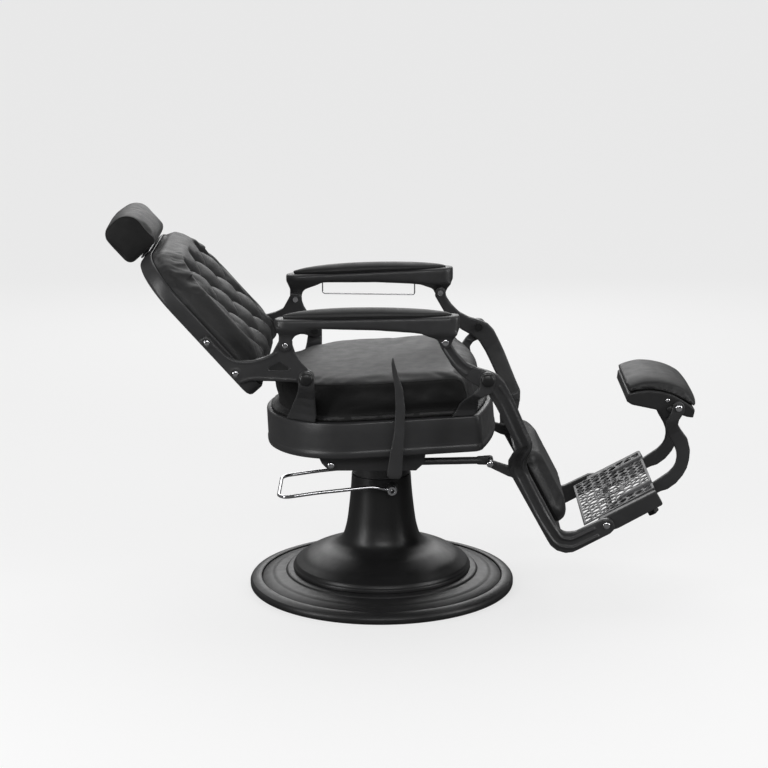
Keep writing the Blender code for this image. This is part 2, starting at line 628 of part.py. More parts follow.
def make_armrest(side, sign):
    """A splayed arm casting with a foot at each end, and its pad."""
    group = "armrest_swing_" + side
    stations = [(-0.2440, 0.7150, 0.010), (-0.2360, 0.7130, 0.021), (-0.2200, 0.7125, 0.027),
                (-0.1360, 0.7135, 0.029), (-0.0120, 0.7120, 0.029), (0.0760, 0.7070, 0.029),
                (0.1300, 0.7010, 0.029), (0.1650, 0.7020, 0.026), (0.1790, 0.7080, 0.019),
                (0.1850, 0.7150, 0.010)]
    rings = []
    for x, low, half in stations:
        y, high = armrest_mid(x), armrest_top(x)
        edge = 0.3 * half
        rings.append([(x, sign * (y - half + edge), low), (x, sign * (y + half - edge), low),
                      (x, sign * (y + half), low + 0.007), (x, sign * (y + half), high - 0.004),
                      (x, sign * (y + half - 0.004), high), (x, sign * (y - half + 0.004), high),
                      (x, sign * (y - half), high - 0.004), (x, sign * (y - half), low + 0.007)])
    piece = node("armrest_" + side, loft(rings), "cast_black", group)

    rear_foot = [(-0.2430, 0.7260), (-0.1600, 0.7260), (-0.1700, 0.7120), (-0.1950, 0.6960),
                 (-0.2035, 0.6840)] + arc(*PIVOT_B, 0.0155, 10, -190, 8)
    rear_foot += [(-0.2345, 0.6960), (-0.2410, 0.7100)]
    tool(piece, plate(rear_foot, sign * 0.2742, sign * 0.2900), "UNION")
    front_foot = [(0.0950, 0.7150), (0.1120, 0.7010), (0.1320, 0.6920)]
    front_foot += arc(*PIVOT_C, 0.0150, 200, 370, 8) + [(0.1730, 0.7000), (0.1790, 0.7160)]
    tool(piece, plate(front_foot, sign * 0.3000, sign * 0.3160), "UNION")
    bore_y(piece, PIVOT_B, 0.0043, sign * 0.265, sign * 0.300, 8)
    bore_y(piece, PIVOT_C, 0.0052, sign * 0.292, sign * 0.325, 8)

    rings = []
    for x, half, rise in ((-0.226, 0.006, 0.002), (-0.215, 0.018, 0.007), (-0.190, 0.024, 0.012),
                          (-0.110, 0.0265, 0.017), (0.020, 0.0265, 0.020), (0.100, 0.0260, 0.016),
                          (0.148, 0.022, 0.010), (0.163, 0.015, 0.005), (0.170, 0.006, 0.002)):
        y, base = armrest_mid(x), armrest_top(x) + FIT
        section = [(-half, 0), (half, 0), (half, 0.35 * rise), (0.62 * half, 0.88 * rise),
                   (0, rise), (-0.62 * half, 0.88 * rise), (-half, 0.35 * rise)]
        rings.append([(x, sign * (y + dy), base + dz) for dy, dz in section])
    node("armrest_pad_" + side, loft(rings), "leatherette", group)

    bolt_y("armrest_screw_rear_" + side, PIVOT_B, sign, (0.0070, 0.2530, 0.2577), 0.0040,
           (0.0065, 0.2905, 0.2930), "chrome", "recline", 10)
    bolt_y("armrest_screw_front_" + side, PIVOT_C, sign, (0.0075, 0.2765, 0.2815), 0.0040,
           (0.0075, 0.3165, 0.3190), "chrome", "leg_swing", 10)


def make_towel_bar():
    rear, front = (-0.151, 0.2865, 0.7122), (0.086, 0.3015, 0.7055)
    drop = 0.030
    low_rear, low_front = rear[2] - drop, front[2] - drop
    path = [rear, (rear[0], rear[1], low_rear + 0.006),
            (rear[0] + 0.002, rear[1], low_rear + 0.002), (rear[0] + 0.006, rear[1], low_rear),
            (front[0] - 0.006, front[1], low_front),
            (front[0] - 0.002, front[1], low_front + 0.002),
            (front[0], front[1], low_front + 0.006), front]
    node("towel_bar", wire(path, 0.0016, 6), "chrome", "armrest_swing_l")


# ---------------------------------------------------------------- leg arms and calf rest
def make_leg_arm(side, sign):
    """A cast arm from pivot C, past pivot D, in at the knee and round to the foot tray."""
    t = ARM_T
    stations = [((0.1475, 0.6975), (0.1570, 0.6985), LEG_Y, t),
                ((0.1390, 0.6870), (0.1655, 0.6900), LEG_Y, t),
                ((0.1385, 0.6740), (0.1670, 0.6740), LEG_Y, t),
                ((0.1500, 0.6540), (0.1780, 0.6550), LEG_Y, t),
                ((0.1660, 0.6260), (0.2010, 0.6320), LEG_Y, t),
                ((0.1860, 0.6030), (0.2260, 0.6190), LEG_Y, t),
                ((0.2070, 0.5860), (0.2520, 0.6115), LEG_Y, t),
                ((0.2320, 0.5720), (0.2740, 0.6020), LEG_Y, t),
                ((0.2520, 0.5560), (0.2900, 0.5850), LEG_Y, t),
                ((0.2680, 0.5300), (0.3040, 0.5580), 0.2880, t),
                ((0.2795, 0.5070), (0.3180, 0.5280), 0.2830, t),
                ((0.3090, 0.4450), (0.3450, 0.4620), 0.2670, t),
                ((0.3220, 0.4140), (0.3590, 0.4300), 0.2600, t),
                ((0.3130, 0.4000), (0.3580, 0.4090), 0.2500, t),
                ((0.3040, 0.3750), (0.3510, 0.3850), 0.2240, t),
                ((0.3050, 0.3530), (0.3490, 0.3600), 0.2060, t),
                ((0.3180, 0.3230), (0.3550, 0.3400), SHIN_Y, t),
                ((0.4000, 0.1720), (0.4260, 0.2040), SHIN_Y, t),
                ((0.4090, 0.1570), (0.4320, 0.1970), SHIN_Y, t),
                ((0.4240, 0.1445), (0.4400, 0.1920), SHIN_Y, t),
                ((0.4450, 0.1380), (0.4500, 0.1900), SHIN_Y, t),
                ((0.4630, 0.1400), (0.4600, 0.1905), SHIN_Y, t),
                ((0.4760, 0.1460), (0.4720, 0.1925), SHIN_Y, t),
                ((0.5530, 0.1870), (0.5330, 0.2230), SHIN_Y, t),
                ((0.5620, 0.1970), (0.5490, 0.2240), SHIN_Y, t),
                ((0.5640, 0.2040), (0.5580, 0.2180), SHIN_Y, t)]
    piece = node("leg_arm_" + side, strip(stations, sign), "cast_black", "leg_swing")
    lug = [(0.3350, 0.3570), (0.3080, 0.3560)] + arc(*CRANK_PIN, 0.0090, 70, 250, 6)
    lug += [(0.3060, 0.3300), (0.3350, 0.3230)]
    tool(piece, plate(lug, sign * 0.1935, sign * 0.2045), "UNION")
    bore_y(piece, PIVOT_C, 0.0043, sign * 0.275, sign * 0.305, 8)
    bore_y(piece, PIVOT_D, 0.0063, sign * 0.275, sign * 0.305)
    bore_y(piece, PIVOT_E, 0.0053, sign * 0.185, sign * 0.215, 10)
    bore_y(piece, CRANK_PIN, 0.0033, sign * 0.188, sign * 0.211, 8)


def make_calf_rest():
    half = SHIN_Y - ARM_T / 2 - 0.0005
    low, high = 0.0, 0.262
    outline = inset_rounded(half, low, high, (0.030, 0.060), 0.0, 5)
    plate_mesh = loft([[CALF.point(a, y, h) for y, a in outline] for h in (0.0, 0.005)])
    piece = node("calf_plate", plate_mesh, "black_paint", "leg_swing")
    for y in (-0.020, 0.0, 0.020):
        x, _, z = CALF.point(0.250, y, -0.01)
        hole = turned([(0, 0), (0.0035, 0), (0.0035, 0.03), (0, 0.03)], (x, y, z),
                      (CALF.off[0], 0, CALF.off[1]), 8)
        tool(piece, hole, "DIFFERENCE")
    rings = []
    for h, inset in ((0.0053, 0.002), (0.018, 0.0), (0.034, 0.006), (0.046, 0.020), (0.0515, 0.045)):
        outline = inset_rounded(0.172, 0.018, 0.228, (0.035, 0.045), inset, 4)
        rings.append([CALF.point(a, y, h) for y, a in outline])
    node("calf_pad", loft(rings), "leatherette", "leg_swing")


def make_leg_bolts():
    profile = [(0, 0.1500), (0.0070, 0.1500), (0.0070, 0.1560), (0.0030, 0.1560),
               (0.0030, 0.2048), (0.0085, 0.2048), (0.0085, 0.2085), (0.0055, 0.2110),
               (0, 0.2115)]
    node("crank_pin", turned(profile, (CRANK_PIN[0], 0, CRANK_PIN[1]), (0, -1, 0), 10), "chrome",
         "leg_swing")
    for side, sign in SIDES:
        bolt_y("tray_bolt_" + side, PIVOT_E, sign, (0.0085, 0.1600, 0.1675), 0.0050,
               (0.0085, 0.2075, 0.2120), "chrome", "leg_swing")
        bolt_y("front_pivot_bolt_" + side, PIVOT_D, sign, (0.0100, 0.2735, 0.2817), 0.0060,
               (0.0160, 0.3133, 0.3235), "black_paint", "swivel")
        bolt_y("rear_pivot_bolt_" + side, PIVOT_A, sign, (0.0100, 0.2495, 0.2577), 0.0060,
               (0.0160, 0.2880, 0.2980), "black_paint", "swivel")


# ---------------------------------------------------------------- recline lock
def make_lock():
    """Lock cylinder from the underframe to the leg arm's crank pin."""
    start = Vector((LOCK_ANCHOR[0], LOCK_Y, LOCK_ANCHOR[1]))
    end = Vector((CRANK_PIN[0], LOCK_Y, CRANK_PIN[1]))
    axis = (end - start).normalized()
    span = (end - start).length

    profile = [(0, 0.004), (0.0040, 0.004), (0.0040, 0.228), (0.0069, 0.228), (0.0069, 0.248),
               (0, 0.248)]
    rod = node("lock_rod", turned(profile, start, axis, 10), "steel", "lock_swing")
    eye = turned([(0, -0.0065), (0.0095, -0.0065), (0.0095, 0.0065), (0, 0.0065)], start,
                 (0, 1, 0), 12)
    tool(rod, eye, "UNION")
    bore_y(rod, LOCK_ANCHOR, 0.0043, LOCK_Y - 0.012, LOCK_Y + 0.012, 8)

    rear, front = 0.128, span - 0.020
    profile = [(0.0043, rear), (0.0090, rear), (0.0090, front), (0, front), (0, front - 0.008),
               (0.0072, front - 0.008), (0.0072, rear + 0.012), (0.0043, rear + 0.012)]
    tube = node("lock_cylinder", lock_tube(profile, start, axis), "black_paint", "lock_slide")
    slant = Frame((end.x, end.z), math.atan2(axis.z, axis.x))
    eye = rounded([slant.xz(-0.030, -0.0090) + (0.002,), slant.xz(0.0090, -0.0112) + (0.0070,),
                   slant.xz(0.0090, 0.0112) + (0.0070,), slant.xz(-0.030, 0.0090) + (0.002,)], 3)
    tool(tube, plate(eye, LOCK_Y - 0.0075, LOCK_Y + 0.0075), "UNION")
    slot = rounded([slant.xz(-0.0042, -0.0076) + (0.0035,), slant.xz(0.0042, -0.0076) + (0.0035,),
                    slant.xz(0.0042, 0.0076) + (0.0035,), slant.xz(-0.0042, 0.0076) + (0.0035,)], 3)
    tool(tube, plate(slot, LOCK_Y - 0.012, LOCK_Y + 0.012), "DIFFERENCE")


def lock_tube(profile, start, axis):
    """The cylinder's wall, its closed front end and its guide, as one turned skin."""
    outer = [(0.0, profile[3][1])] + [profile[2], profile[1], profile[0]]
    inner = [profile[7], profile[6], profile[5], (0.0, profile[4][1])]
    return turned(outer + inner, start, axis, 10)


# ---------------------------------------------------------------- foot tray and foot pad
TRAY_HALF = 0.1675
TRAY_TOP = 0.0163


def make_tray():
    """Lattice plate between two rails, with a sleeve for each extension bar under it."""
    base = TRAY_TOP - 0.003
    rear, front = -0.050, 0.143
    outline = [(rear, -TRAY_HALF), (front, -TRAY_HALF), (front, TRAY_HALF), (rear, TRAY_HALF)]
    mesh = loft([[TRAY.point(a, y, h) for a, y in outline] for h in (base, TRAY_TOP)])
    tray = node("foot_tray", mesh, "cast_black", "tray_fold")

    rows, columns = 5, 9
    pitch_a, pitch_y = (front - rear - 0.012) / rows, (2 * TRAY_HALF - 0.012) / columns
    slots = bmesh.new()
    for row in range(rows):
        for column in range(columns):
            a = rear + 0.006 + pitch_a * (row + 0.5)
            y = -TRAY_HALF + 0.006 + pitch_y * (column + 0.5)
            if abs(abs(y) - BAR_Y) < 0.018:
                continue
            add_slot(slots, a, y, pitch_a / 2 - 0.003, pitch_y / 2 - 0.003, base)
    bmesh.ops.recalc_face_normals(slots, faces=slots.faces)
    tool(tray, slots, "DIFFERENCE")

    for _, sign in SIDES:
        sleeve = [(0.085, sign * (BAR_Y - 0.0100)), (0.135, sign * (BAR_Y - 0.0100)),
                  (0.135, sign * (BAR_Y + 0.0100)), (0.085, sign * (BAR_Y + 0.0100))]
        mesh = loft([[TRAY.point(a, y, h) for a, y in sleeve] for h in (-0.0200, base + 0.001)])
        tool(tray, mesh, "UNION")
        cavity = [(0.075, sign * (BAR_Y - 0.0063)), (0.150, sign * (BAR_Y - 0.0063)),
                  (0.150, sign * (BAR_Y + 0.0063)), (0.075, sign * (BAR_Y + 0.0063))]
        mesh = loft([[TRAY.point(a, y, h) for a, y in cavity] for h in (-0.0163, base - 0.0002)])
        tool(tray, mesh, "DIFFERENCE")

    for side, sign in SIDES:
        inner, outer = TRAY_HALF + 0.0005, SHIN_Y - ARM_T / 2 - 0.0015
        outline = [TRAY.xz(a, h) for a, h in arc(0, 0, 0.0180, 120, 255, 8)]
        outline += [TRAY.xz(0.010, -0.0240), TRAY.xz(0.020, -0.0260), TRAY.xz(0.1400, -0.0260),
                    TRAY.xz(0.1430, -0.0230), TRAY.xz(0.1430, 0.0110), TRAY.xz(0.1410, 0.0130)]
        rail = node("tray_rail_" + side, plate(outline, sign * inner, sign * outer),
                    "cast_black", "tray_fold")
        bore_y(rail, PIVOT_E, 0.0053, sign * (inner - 0.005), sign * (outer + 0.005), 10)


def add_slot(bm, a, y, half_a, half_y, base):
    """One lozenge-shaped opening through the lattice plate."""
    corners = [(a - half_a, y), (a, y - half_y), (a + half_a, y), (a, y + half_y)]
    low = [bm.verts.new(TRAY.point(ca, cy, base - 0.004)) for ca, cy in corners]
    high = [bm.verts.new(TRAY.point(ca, cy, TRAY_TOP + 0.004)) for ca, cy in corners]
    bm.faces.new(low)
    bm.faces.new(high)
    for k in range(4):
        j = (k + 1) % 4
        bm.faces.new((low[k], low[j], high[j], high[k]))


def make_extension():
    """Two bars that slide in the tray's sleeves and curve up to the foot pad."""
    t = 0.0120
    x, z = PIVOT_F
    head_y = 0.1375
    low_in, high_in = (0.015, -0.0160), (0.015, 0.0125)
    stations = [(TRAY.xz(*low_in), TRAY.xz(*high_in), BAR_Y, t),
                (TRAY.xz(0.150, -0.0160), TRAY.xz(0.146, 0.0125), BAR_Y, t),
                ((0.6990, 0.2720), (0.6820, 0.3020), BAR_Y, t),
                ((0.7190, 0.2870), (0.7005, 0.3150), BAR_Y, t),
                ((0.7345, 0.3060), (0.7110, 0.3270), BAR_Y, t),
                ((0.7445, 0.3250), (0.7165, 0.3380), BAR_Y, t),
                ((0.7500, 0.3480), (0.7190, 0.3520), BAR_Y, t),
                ((0.7510, 0.3720), (0.7180, 0.3660), BAR_Y, t),
                ((0.7440, 0.4000), (0.7120, 0.3820), BAR_Y, t),
                ((0.7270, 0.4230), (0.6980, 0.4060), BAR_Y + 0.002, t),
                ((0.7190, 0.4370), (0.6900, 0.4240), 0.1240, t),
                ((0.7200, 0.4520), (0.6890, 0.4460), 0.1345, t),
                ((0.7320, 0.4720), (0.6980, 0.4680), head_y, t),
                ((x + 0.0150, z + 0.0020), (x - 0.0150, z + 0.0020), head_y, t),
                ((x + 0.0120, z + 0.0100), (x - 0.0120, z + 0.0100), head_y, t),
                ((x + 0.0050, z + 0.0150), (x - 0.0050, z + 0.0150), head_y, t)]
    bars = node("extension_bars", strip(stations, -1), "cast_black", "bars_slide")
    tool(bars, strip(stations, 1), "UNION")
    cross = [(0.017, -0.0140), (0.029, -0.0140), (0.029, 0.0100), (0.017, 0.0100)]
    cross_xz = [TRAY.xz(a, h) for a, h in cross]
    tool(bars, plate(cross_xz, -BAR_Y, BAR_Y), "UNION")
    for _, sign in SIDES:
        bore_y(bars, PIVOT_F, 0.0043, sign * 0.125, sign * 0.150, 8)


def make_foot_pad():
    """A shallow metal pan with a domed pad, between the heads of the extension bars."""
    seam = [(0.5965, 0.5150), (0.6210, 0.5205), (0.6470, 0.5225), (0.6760, 0.5195),
            (0.7040, 0.5115), (0.7270, 0.4990), (0.7480, 0.4850), (0.7590, 0.4740)]
    below = [(0.7550, 0.4545), (0.7400, 0.4560), (0.7300, 0.4600), (0.7050, 0.4600),
             (0.6860, 0.4500), (0.6670, 0.4740), (0.6060, 0.4870), (0.5940, 0.4950)]
    half = 0.1290
    pan = node("foot_pan", plate(seam + below, -half, half), "cast_black", "pad_tilt")
    for _, sign in SIDES:
        bore_y(pan, PIVOT_F, 0.0043, sign * 0.108, sign * 0.140, 8)

    rings = []
    for y, rise, trim in ((-0.1285, 0.004, 0.004), (-0.1200, 0.015, 0.001), (-0.090, 0.024, 0.0),
                          (0.0, 0.029, 0.0), (0.090, 0.024, 0.0), (0.1200, 0.015, 0.001),
                          (0.1285, 0.004, 0.004)):
        rings.append([(px, y, pz) for px, pz in pad_section(seam, rise, trim)])
    node("foot_cushion", loft(rings), "leatherette", "pad_tilt")

    for side, sign in SIDES:
        bolt_y("foot_bolt_" + side, PIVOT_F, sign, (0.0040, 0.1110, 0.1150), 0.0040,
               (0.0085, 0.1440, 0.1490), "chrome", "bars_slide", 10)


def pad_section(seam, rise, trim):
    """The pad's outline over the pan's curved edge, raised by rise along its normal."""
    lower, upper = [], []
    last = len(seam) - 1
    for k, (x, z) in enumerate(seam):
        ahead, behind = Vector(seam[min(k + 1, last)]), Vector(seam[max(k - 1, 0)])
        run = (ahead - behind).normalized()
        normal = Vector((-run.y, run.x))
        here = Vector((x, z))
        if k == 0:
            here += run * trim
        if k == last:
            here -= run * trim
        ends = k in (0, last)
        lift = rise * (0.62 if ends else 1.0)
        lower.append(tuple(here + normal * FIT))
        upper.append(tuple(here + normal * (FIT + lift)))
    return lower + upper[::-1]


def make_knob():
    """Clamp knob under the right sleeve that locks the extension bars."""
    axis = (-TRAY.off[0], 0, -TRAY.off[1])
    top = TRAY.point(0.110, -BAR_Y, -0.0203)
    profile = [(0, 0), (0.0035, 0), (0.0035, 0.0240), (0.0070, 0.0240), (0.0120, 0.0280),
               (0.0150, 0.0330), (0.0150, 0.0360), (0.0110, 0.0385), (0, 0.0385)]
    node("clamp_knob", turned(profile, top, axis, 10), "black_plastic", "knob_turn")


# ---------------------------------------------------------------- build
def main():
    clear_scene()
    make_materials()
    make_pivots()
    make_base()
    make_lift()
    make_pump_handle()
    make_underframe()
    make_seat()
    for side, sign in SIDES:
        make_front_bracket(side, sign)
        make_rear_bracket(side, sign)
    make_lever()
    make_back()
    make_headrest()
    for side, sign in SIDES:
        make_armrest(side, sign)
        make_leg_arm(side, sign)
    make_towel_bar()
    make_calf_rest()
    make_leg_bolts()
    make_lock()
    make_tray()
    make_extension()
    make_foot_pad()
    make_knob()


main()
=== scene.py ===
"""Looks of the reclined barber chair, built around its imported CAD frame.

Metres, +Z up.  +X is the way the sitter faces and +Y is the sitter's left.
"""

import json
import math

import bmesh
import bpy
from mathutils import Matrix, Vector, noise
from mathutils.bvhtree import BVHTree


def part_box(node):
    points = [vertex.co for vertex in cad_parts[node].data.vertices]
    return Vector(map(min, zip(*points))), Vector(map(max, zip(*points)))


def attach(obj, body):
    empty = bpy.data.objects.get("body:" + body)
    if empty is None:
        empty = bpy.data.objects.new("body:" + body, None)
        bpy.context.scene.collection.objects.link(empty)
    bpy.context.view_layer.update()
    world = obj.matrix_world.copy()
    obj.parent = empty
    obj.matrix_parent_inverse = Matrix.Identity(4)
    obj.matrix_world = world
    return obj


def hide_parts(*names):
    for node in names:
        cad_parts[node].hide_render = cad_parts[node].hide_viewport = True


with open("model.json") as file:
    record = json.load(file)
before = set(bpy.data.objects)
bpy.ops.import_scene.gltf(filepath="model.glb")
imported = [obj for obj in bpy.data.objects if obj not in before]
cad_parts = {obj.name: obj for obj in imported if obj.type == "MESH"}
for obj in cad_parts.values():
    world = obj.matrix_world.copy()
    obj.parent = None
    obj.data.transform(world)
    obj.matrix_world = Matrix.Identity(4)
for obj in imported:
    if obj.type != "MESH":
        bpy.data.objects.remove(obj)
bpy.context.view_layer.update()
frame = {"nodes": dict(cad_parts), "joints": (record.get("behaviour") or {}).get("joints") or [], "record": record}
NODES = frame["nodes"]
BODY_OF = {node: body for body, members in frame["record"]["behaviour"]["bodies"].items()
           for node in members}
JOINTS = {joint["name"]: joint for joint in frame["joints"]}
SIDES = (("r", -1), ("l", 1))

# ---------------------------------------------------------------- places taken from the frame


def pivot_xz(joint):
    x, _, z = JOINTS[joint]["pos_m"]
    return x, z


def axis_angle(joint):
    x, _, z = JOINTS[joint]["axis"]
    return math.atan2(z, x)


class Frame:
    """A tilted frame in the XZ plane: a runs along it, h stands off it."""

    def __init__(self, origin, angle, flip=False):
        self.origin = origin
        self.along = (math.cos(angle), math.sin(angle))
        sign = -1 if flip else 1
        self.off = (-sign * math.sin(angle), sign * math.cos(angle))

    def xz(self, a, h):
        return (self.origin[0] + a * self.along[0] + h * self.off[0],
                self.origin[1] + a * self.along[1] + h * self.off[1])

    def point(self, a, y, h):
        x, z = self.xz(a, h)
        return Vector((x, y, z))

    def local(self, p):
        """(a, y, h) of a point."""
        dx, dz = p[0] - self.origin[0], p[2] - self.origin[1]
        return (dx * self.along[0] + dz * self.along[1], p[1],
                dx * self.off[0] + dz * self.off[1])

    def vector(self, a, h):
        return Vector((a * self.along[0] + h * self.off[0], 0,
                       a * self.along[1] + h * self.off[1]))


PIVOT_A = pivot_xz("back_recline")
PIVOT_B = pivot_xz("right_armrest_swing")
PIVOT_D = pivot_xz("legrest_swing")
PIVOT_E = pivot_xz("tray_fold")
PUMP_AXIS = pivot_xz("pump_stroke")

SEAT = Frame((0.0, 0.3875), math.radians(3.5))
BACK = Frame((-0.3058, 0.5373), axis_angle("headrest_height"), flip=True)
CALF = Frame((0.3174, 0.3908), math.radians(-62.5))
TRAY = Frame(PIVOT_E, axis_angle("foot_extension"))

# ---------------------------------------------------------------- outlines


def arc(cx, cy, radius, start, end, steps):
    angles = [math.radians(start + (end - start) * k / steps) for k in range(steps + 1)]
    return [(cx + radius * math.cos(t), cy + radius * math.sin(t)) for t in angles]


def rounded(corners, steps=8):
    """A closed outline whose corners (x, y, radius) are rounded off."""
    points = []
    count = len(corners)
    for k, (x, y, radius) in enumerate(corners):
        here = Vector((x, y))
        if radius == 0:
            points.append((x, y))
            continue
        before = (Vector(corners[k - 1][:2]) - here).normalized()
        after = (Vector(corners[(k + 1) % count][:2]) - here).normalized()
        half = before.angle(after) / 2
        centre = here + (before + after).normalized() * (radius / math.sin(half))
        first = here + before * (radius / math.tan(half)) - centre
        last = here + after * (radius / math.tan(half)) - centre
        turn = math.atan2(first.x * last.y - first.y * last.x, first.dot(last))
        start = math.degrees(math.atan2(first.y, first.x))
        points += arc(centre.x, centre.y, radius, start, start + math.degrees(turn), steps)
    return points


def rounded_rectangle(half_w, low, high, low_r, high_r, inset=0.0, steps=8):
    w, lo, hi = half_w - inset, low + inset, high - inset
    low_r, high_r = max(low_r - inset, 0.002), max(high_r - inset, 0.002)
    return rounded([(-w, lo, low_r), (w, lo, low_r), (w, hi, high_r), (-w, hi, high_r)], steps)


def evenly(points, spacing, closed=True):
    """The same outline with a point every spacing or less."""
    points = [Vector(p) for p in points]
    ends = points[1:] + ([points[0]] if closed else [])
    made = []
    for a, b in zip(points, ends):
        parts = max(1, math.ceil((b - a).length / spacing))
        made += [a.lerp(b, k / parts) for k in range(parts)]
    if not closed:
        made.append(points[-1])
    return made


def curve_through(points, per_span):
    """Catmull-Rom curve through tuples of numbers."""
    points = [Vector(p) for p in points]
    padded_points = [2 * points[0] - points[1]] + points + [2 * points[-1] - points[-2]]
    made = []
    for k in range(len(points) - 1):
        a, b, c, d = padded_points[k:k + 4]
        for j in range(per_span):
            t = j / per_span
            made.append(0.5 * (2 * b + (c - a) * t + (2 * a - 5 * b + 4 * c - d) * t * t
                               + (3 * b - a - 3 * c + d) * t * t * t))
    made.append(points[-1])
    return made


SEAT_HALF, SEAT_REAR_X, SEAT_REAR_R = 0.243, -0.050, 0.230
SEAT_FRONT_X, SEAT_BOW = 0.247, 0.036


def seat_plan(inset, front_inset=None, rear_inset=None, corner=0.020):
    """Plan of the seat: round rear, straight sides, bowed front."""
    front_inset = inset if front_inset is None else front_inset
    rear_inset = inset if rear_inset is None else rear_inset
    half, front = SEAT_HALF - inset, SEAT_FRONT_X - front_inset
    reach = SEAT_REAR_R - rear_inset
    points = [(x, y * half / reach) for x, y in arc(SEAT_REAR_X, 0, reach, 90, 270, 60)]
    points += [(SEAT_REAR_X + (front - corner - SEAT_REAR_X) * k / 20, -half)
               for k in range(1, 20)]
    points += arc(front - corner, -half + corner, corner, -90, 0, 6)
    flat = half - corner
    for k in range(1, 24):
        y = -flat + 2 * flat * k / 24
        points.append((front + SEAT_BOW * (1 - (y / flat) ** 2), y))
    points += arc(front - corner, half - corner, corner, 0, 90, 6)
    points += [(front - corner + (SEAT_REAR_X - front + corner) * k / 20, half)
               for k in range(1, 20)]
    return points


# ---------------------------------------------------------------- mesh helpers


def loft(rings, closed=False, caps=True):
    """Skin rings with the same count of points."""
    bm = bmesh.new()
    rows = [[bm.verts.new(p) for p in ring] for ring in rings]
    count = len(rows[0])
    pairs = list(zip(rows, rows[1:]))
    if closed:
        pairs.append((rows[-1], rows[0]))
    for low, high in pairs:
        for k in range(count):
            j = (k + 1) % count
            bm.faces.new((low[k], low[j], high[j], high[k]))
    if caps and not closed:
        bm.faces.new(rows[0])
        bm.faces.new(rows[-1])
    bmesh.ops.recalc_face_normals(bm, faces=bm.faces)
    return bm


def turned(profile, origin, axis, steps=48):
    """Turn (radius, distance) points about an axis; radius 0 ends close to a point."""
    axis = Vector(axis).normalized()
    side = axis.orthogonal().normalized()
    other = axis.cross(side)
    origin = Vector(origin)
    bm = bmesh.new()
    rows = []
    for radius, distance in profile:
        centre = origin + axis * distance
        if radius == 0:
            rows.append([bm.verts.new(centre)] * steps)
            continue
        rows.append([bm.verts.new(centre + radius * (side * math.cos(t) + other * math.sin(t)))
                     for t in (2 * math.pi * k / steps for k in range(steps))])
    pairs = list(zip(rows, rows[1:]))
    if profile[0][0] != 0 or profile[-1][0] != 0:
        pairs.append((rows[-1], rows[0]))
    for low, high in pairs:
        for k in range(steps):
            j = (k + 1) % steps
            corners = []
            for vert in (low[k], low[j], high[j], high[k]):
                if vert not in corners:
                    corners.append(vert)
            bm.faces.new(corners)
    bmesh.ops.recalc_face_normals(bm, faces=bm.faces)
    return bm


def turned_y(profile, xz, sign, steps):
    """Turn a profile about the line across the chair at (x, z), outwards by sign."""
    return turned(profile, (xz[0], 0, xz[1]), (0, sign, 0), steps)


def plate(outline, y0, y1):
    return loft([[(x, y, z) for x, z in outline] for y in (y0, y1)])


def tube(points, radius, steps=12, closed=False):
    """A round rod along a path."""
    points = [Vector(p) for p in points]
    count = len(points)
    rings = []
    up = None
    for k, here in enumerate(points):
        if closed:
            tangent = (points[(k + 1) % count] - points[k - 1]).normalized()
        else:
            tangent = (points[min(k + 1, count - 1)] - points[max(k - 1, 0)]).normalized()
        up = tangent.orthogonal().normalized() if up is None else up
        up = (up - tangent * up.dot(tangent)).normalized()
        across = tangent.cross(up)
        rings.append([here + radius * (up * math.cos(t) + across * math.sin(t))
                      for t in (2 * math.pi * j / steps for j in range(steps))])
    return loft(rings, closed=closed)


def joined(*parts):
    """Several meshes in one; the parts are used up."""
    bm = bmesh.new()
    for part in parts:
        mesh = bpy.data.meshes.new("part")
        part.to_mesh(mesh)
        part.free()
        bm.from_mesh(mesh)
        bpy.data.meshes.remove(mesh)
    return bm


def thing(name, bm, finish, body, *nodes, slot=None, angle=38):
    """A shown piece: it rides on a body and stands for CAD nodes."""
    mesh = bpy.data.meshes.new(name)
    bm.to_mesh(mesh)
    bm.free()
    mesh.materials.append(MATERIALS[finish])
    mesh.shade_smooth()
    mesh.set_sharp_from_angle(angle=math.radians(angle))
    piece = bpy.data.objects.new(name, mesh)
    bpy.context.collection.objects.link(piece)
    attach(piece, body)
    if nodes:
        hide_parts(*nodes)
    return piece


def baked(piece):
    """Apply every modifier of a piece."""
    graph = bpy.context.evaluated_depsgraph_get()
    graph.update()
    mesh = bpy.data.meshes.new_from_object(piece.evaluated_get(graph))
    piece.modifiers.clear()
    old = piece.data
    piece.data = mesh
    bpy.data.meshes.remove(old)
    return piece


def bevel(piece, width, segments=3, angle=40):
    step = piece.modifiers.new("bevel", "BEVEL")
    step.width = width
    step.segments = segments
    step.limit_method = "ANGLE"
    step.angle_limit = math.radians(angle)
    step.harden_normals = False
    return piece


def middle_xz(node):
    low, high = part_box(node)
    return (low.x + high.x) / 2, (low.z + high.z) / 2


def node_mesh(node):
    """A CAD node's mesh with its doubled points merged."""
    bm = bmesh.new()
    bm.from_mesh(NODES[node].data)
    bmesh.ops.remove_doubles(bm, verts=bm.verts, dist=1e-6)
    return bm


def remeshed(piece, finish, voxel, passes=0):
    """Fuse a piece into one skin of voxels and smooth it."""
    fuse = piece.modifiers.new("fuse", "REMESH")
    fuse.mode = "VOXEL"
    fuse.voxel_size = voxel
    if passes:
        piece.modifiers.new("soften", "SMOOTH").iterations = passes
    baked(piece)
    piece.data.materials.clear()
    piece.data.materials.append(MATERIALS[finish])
    return piece


def cast(name, bm, finish, body, *nodes, voxel, passes):
    """A casting: everything in the mesh is fused and its edges are softened."""
    piece = remeshed(thing(name, bm, finish, body, *nodes), finish, voxel, passes)
    piece.data.shade_smooth()


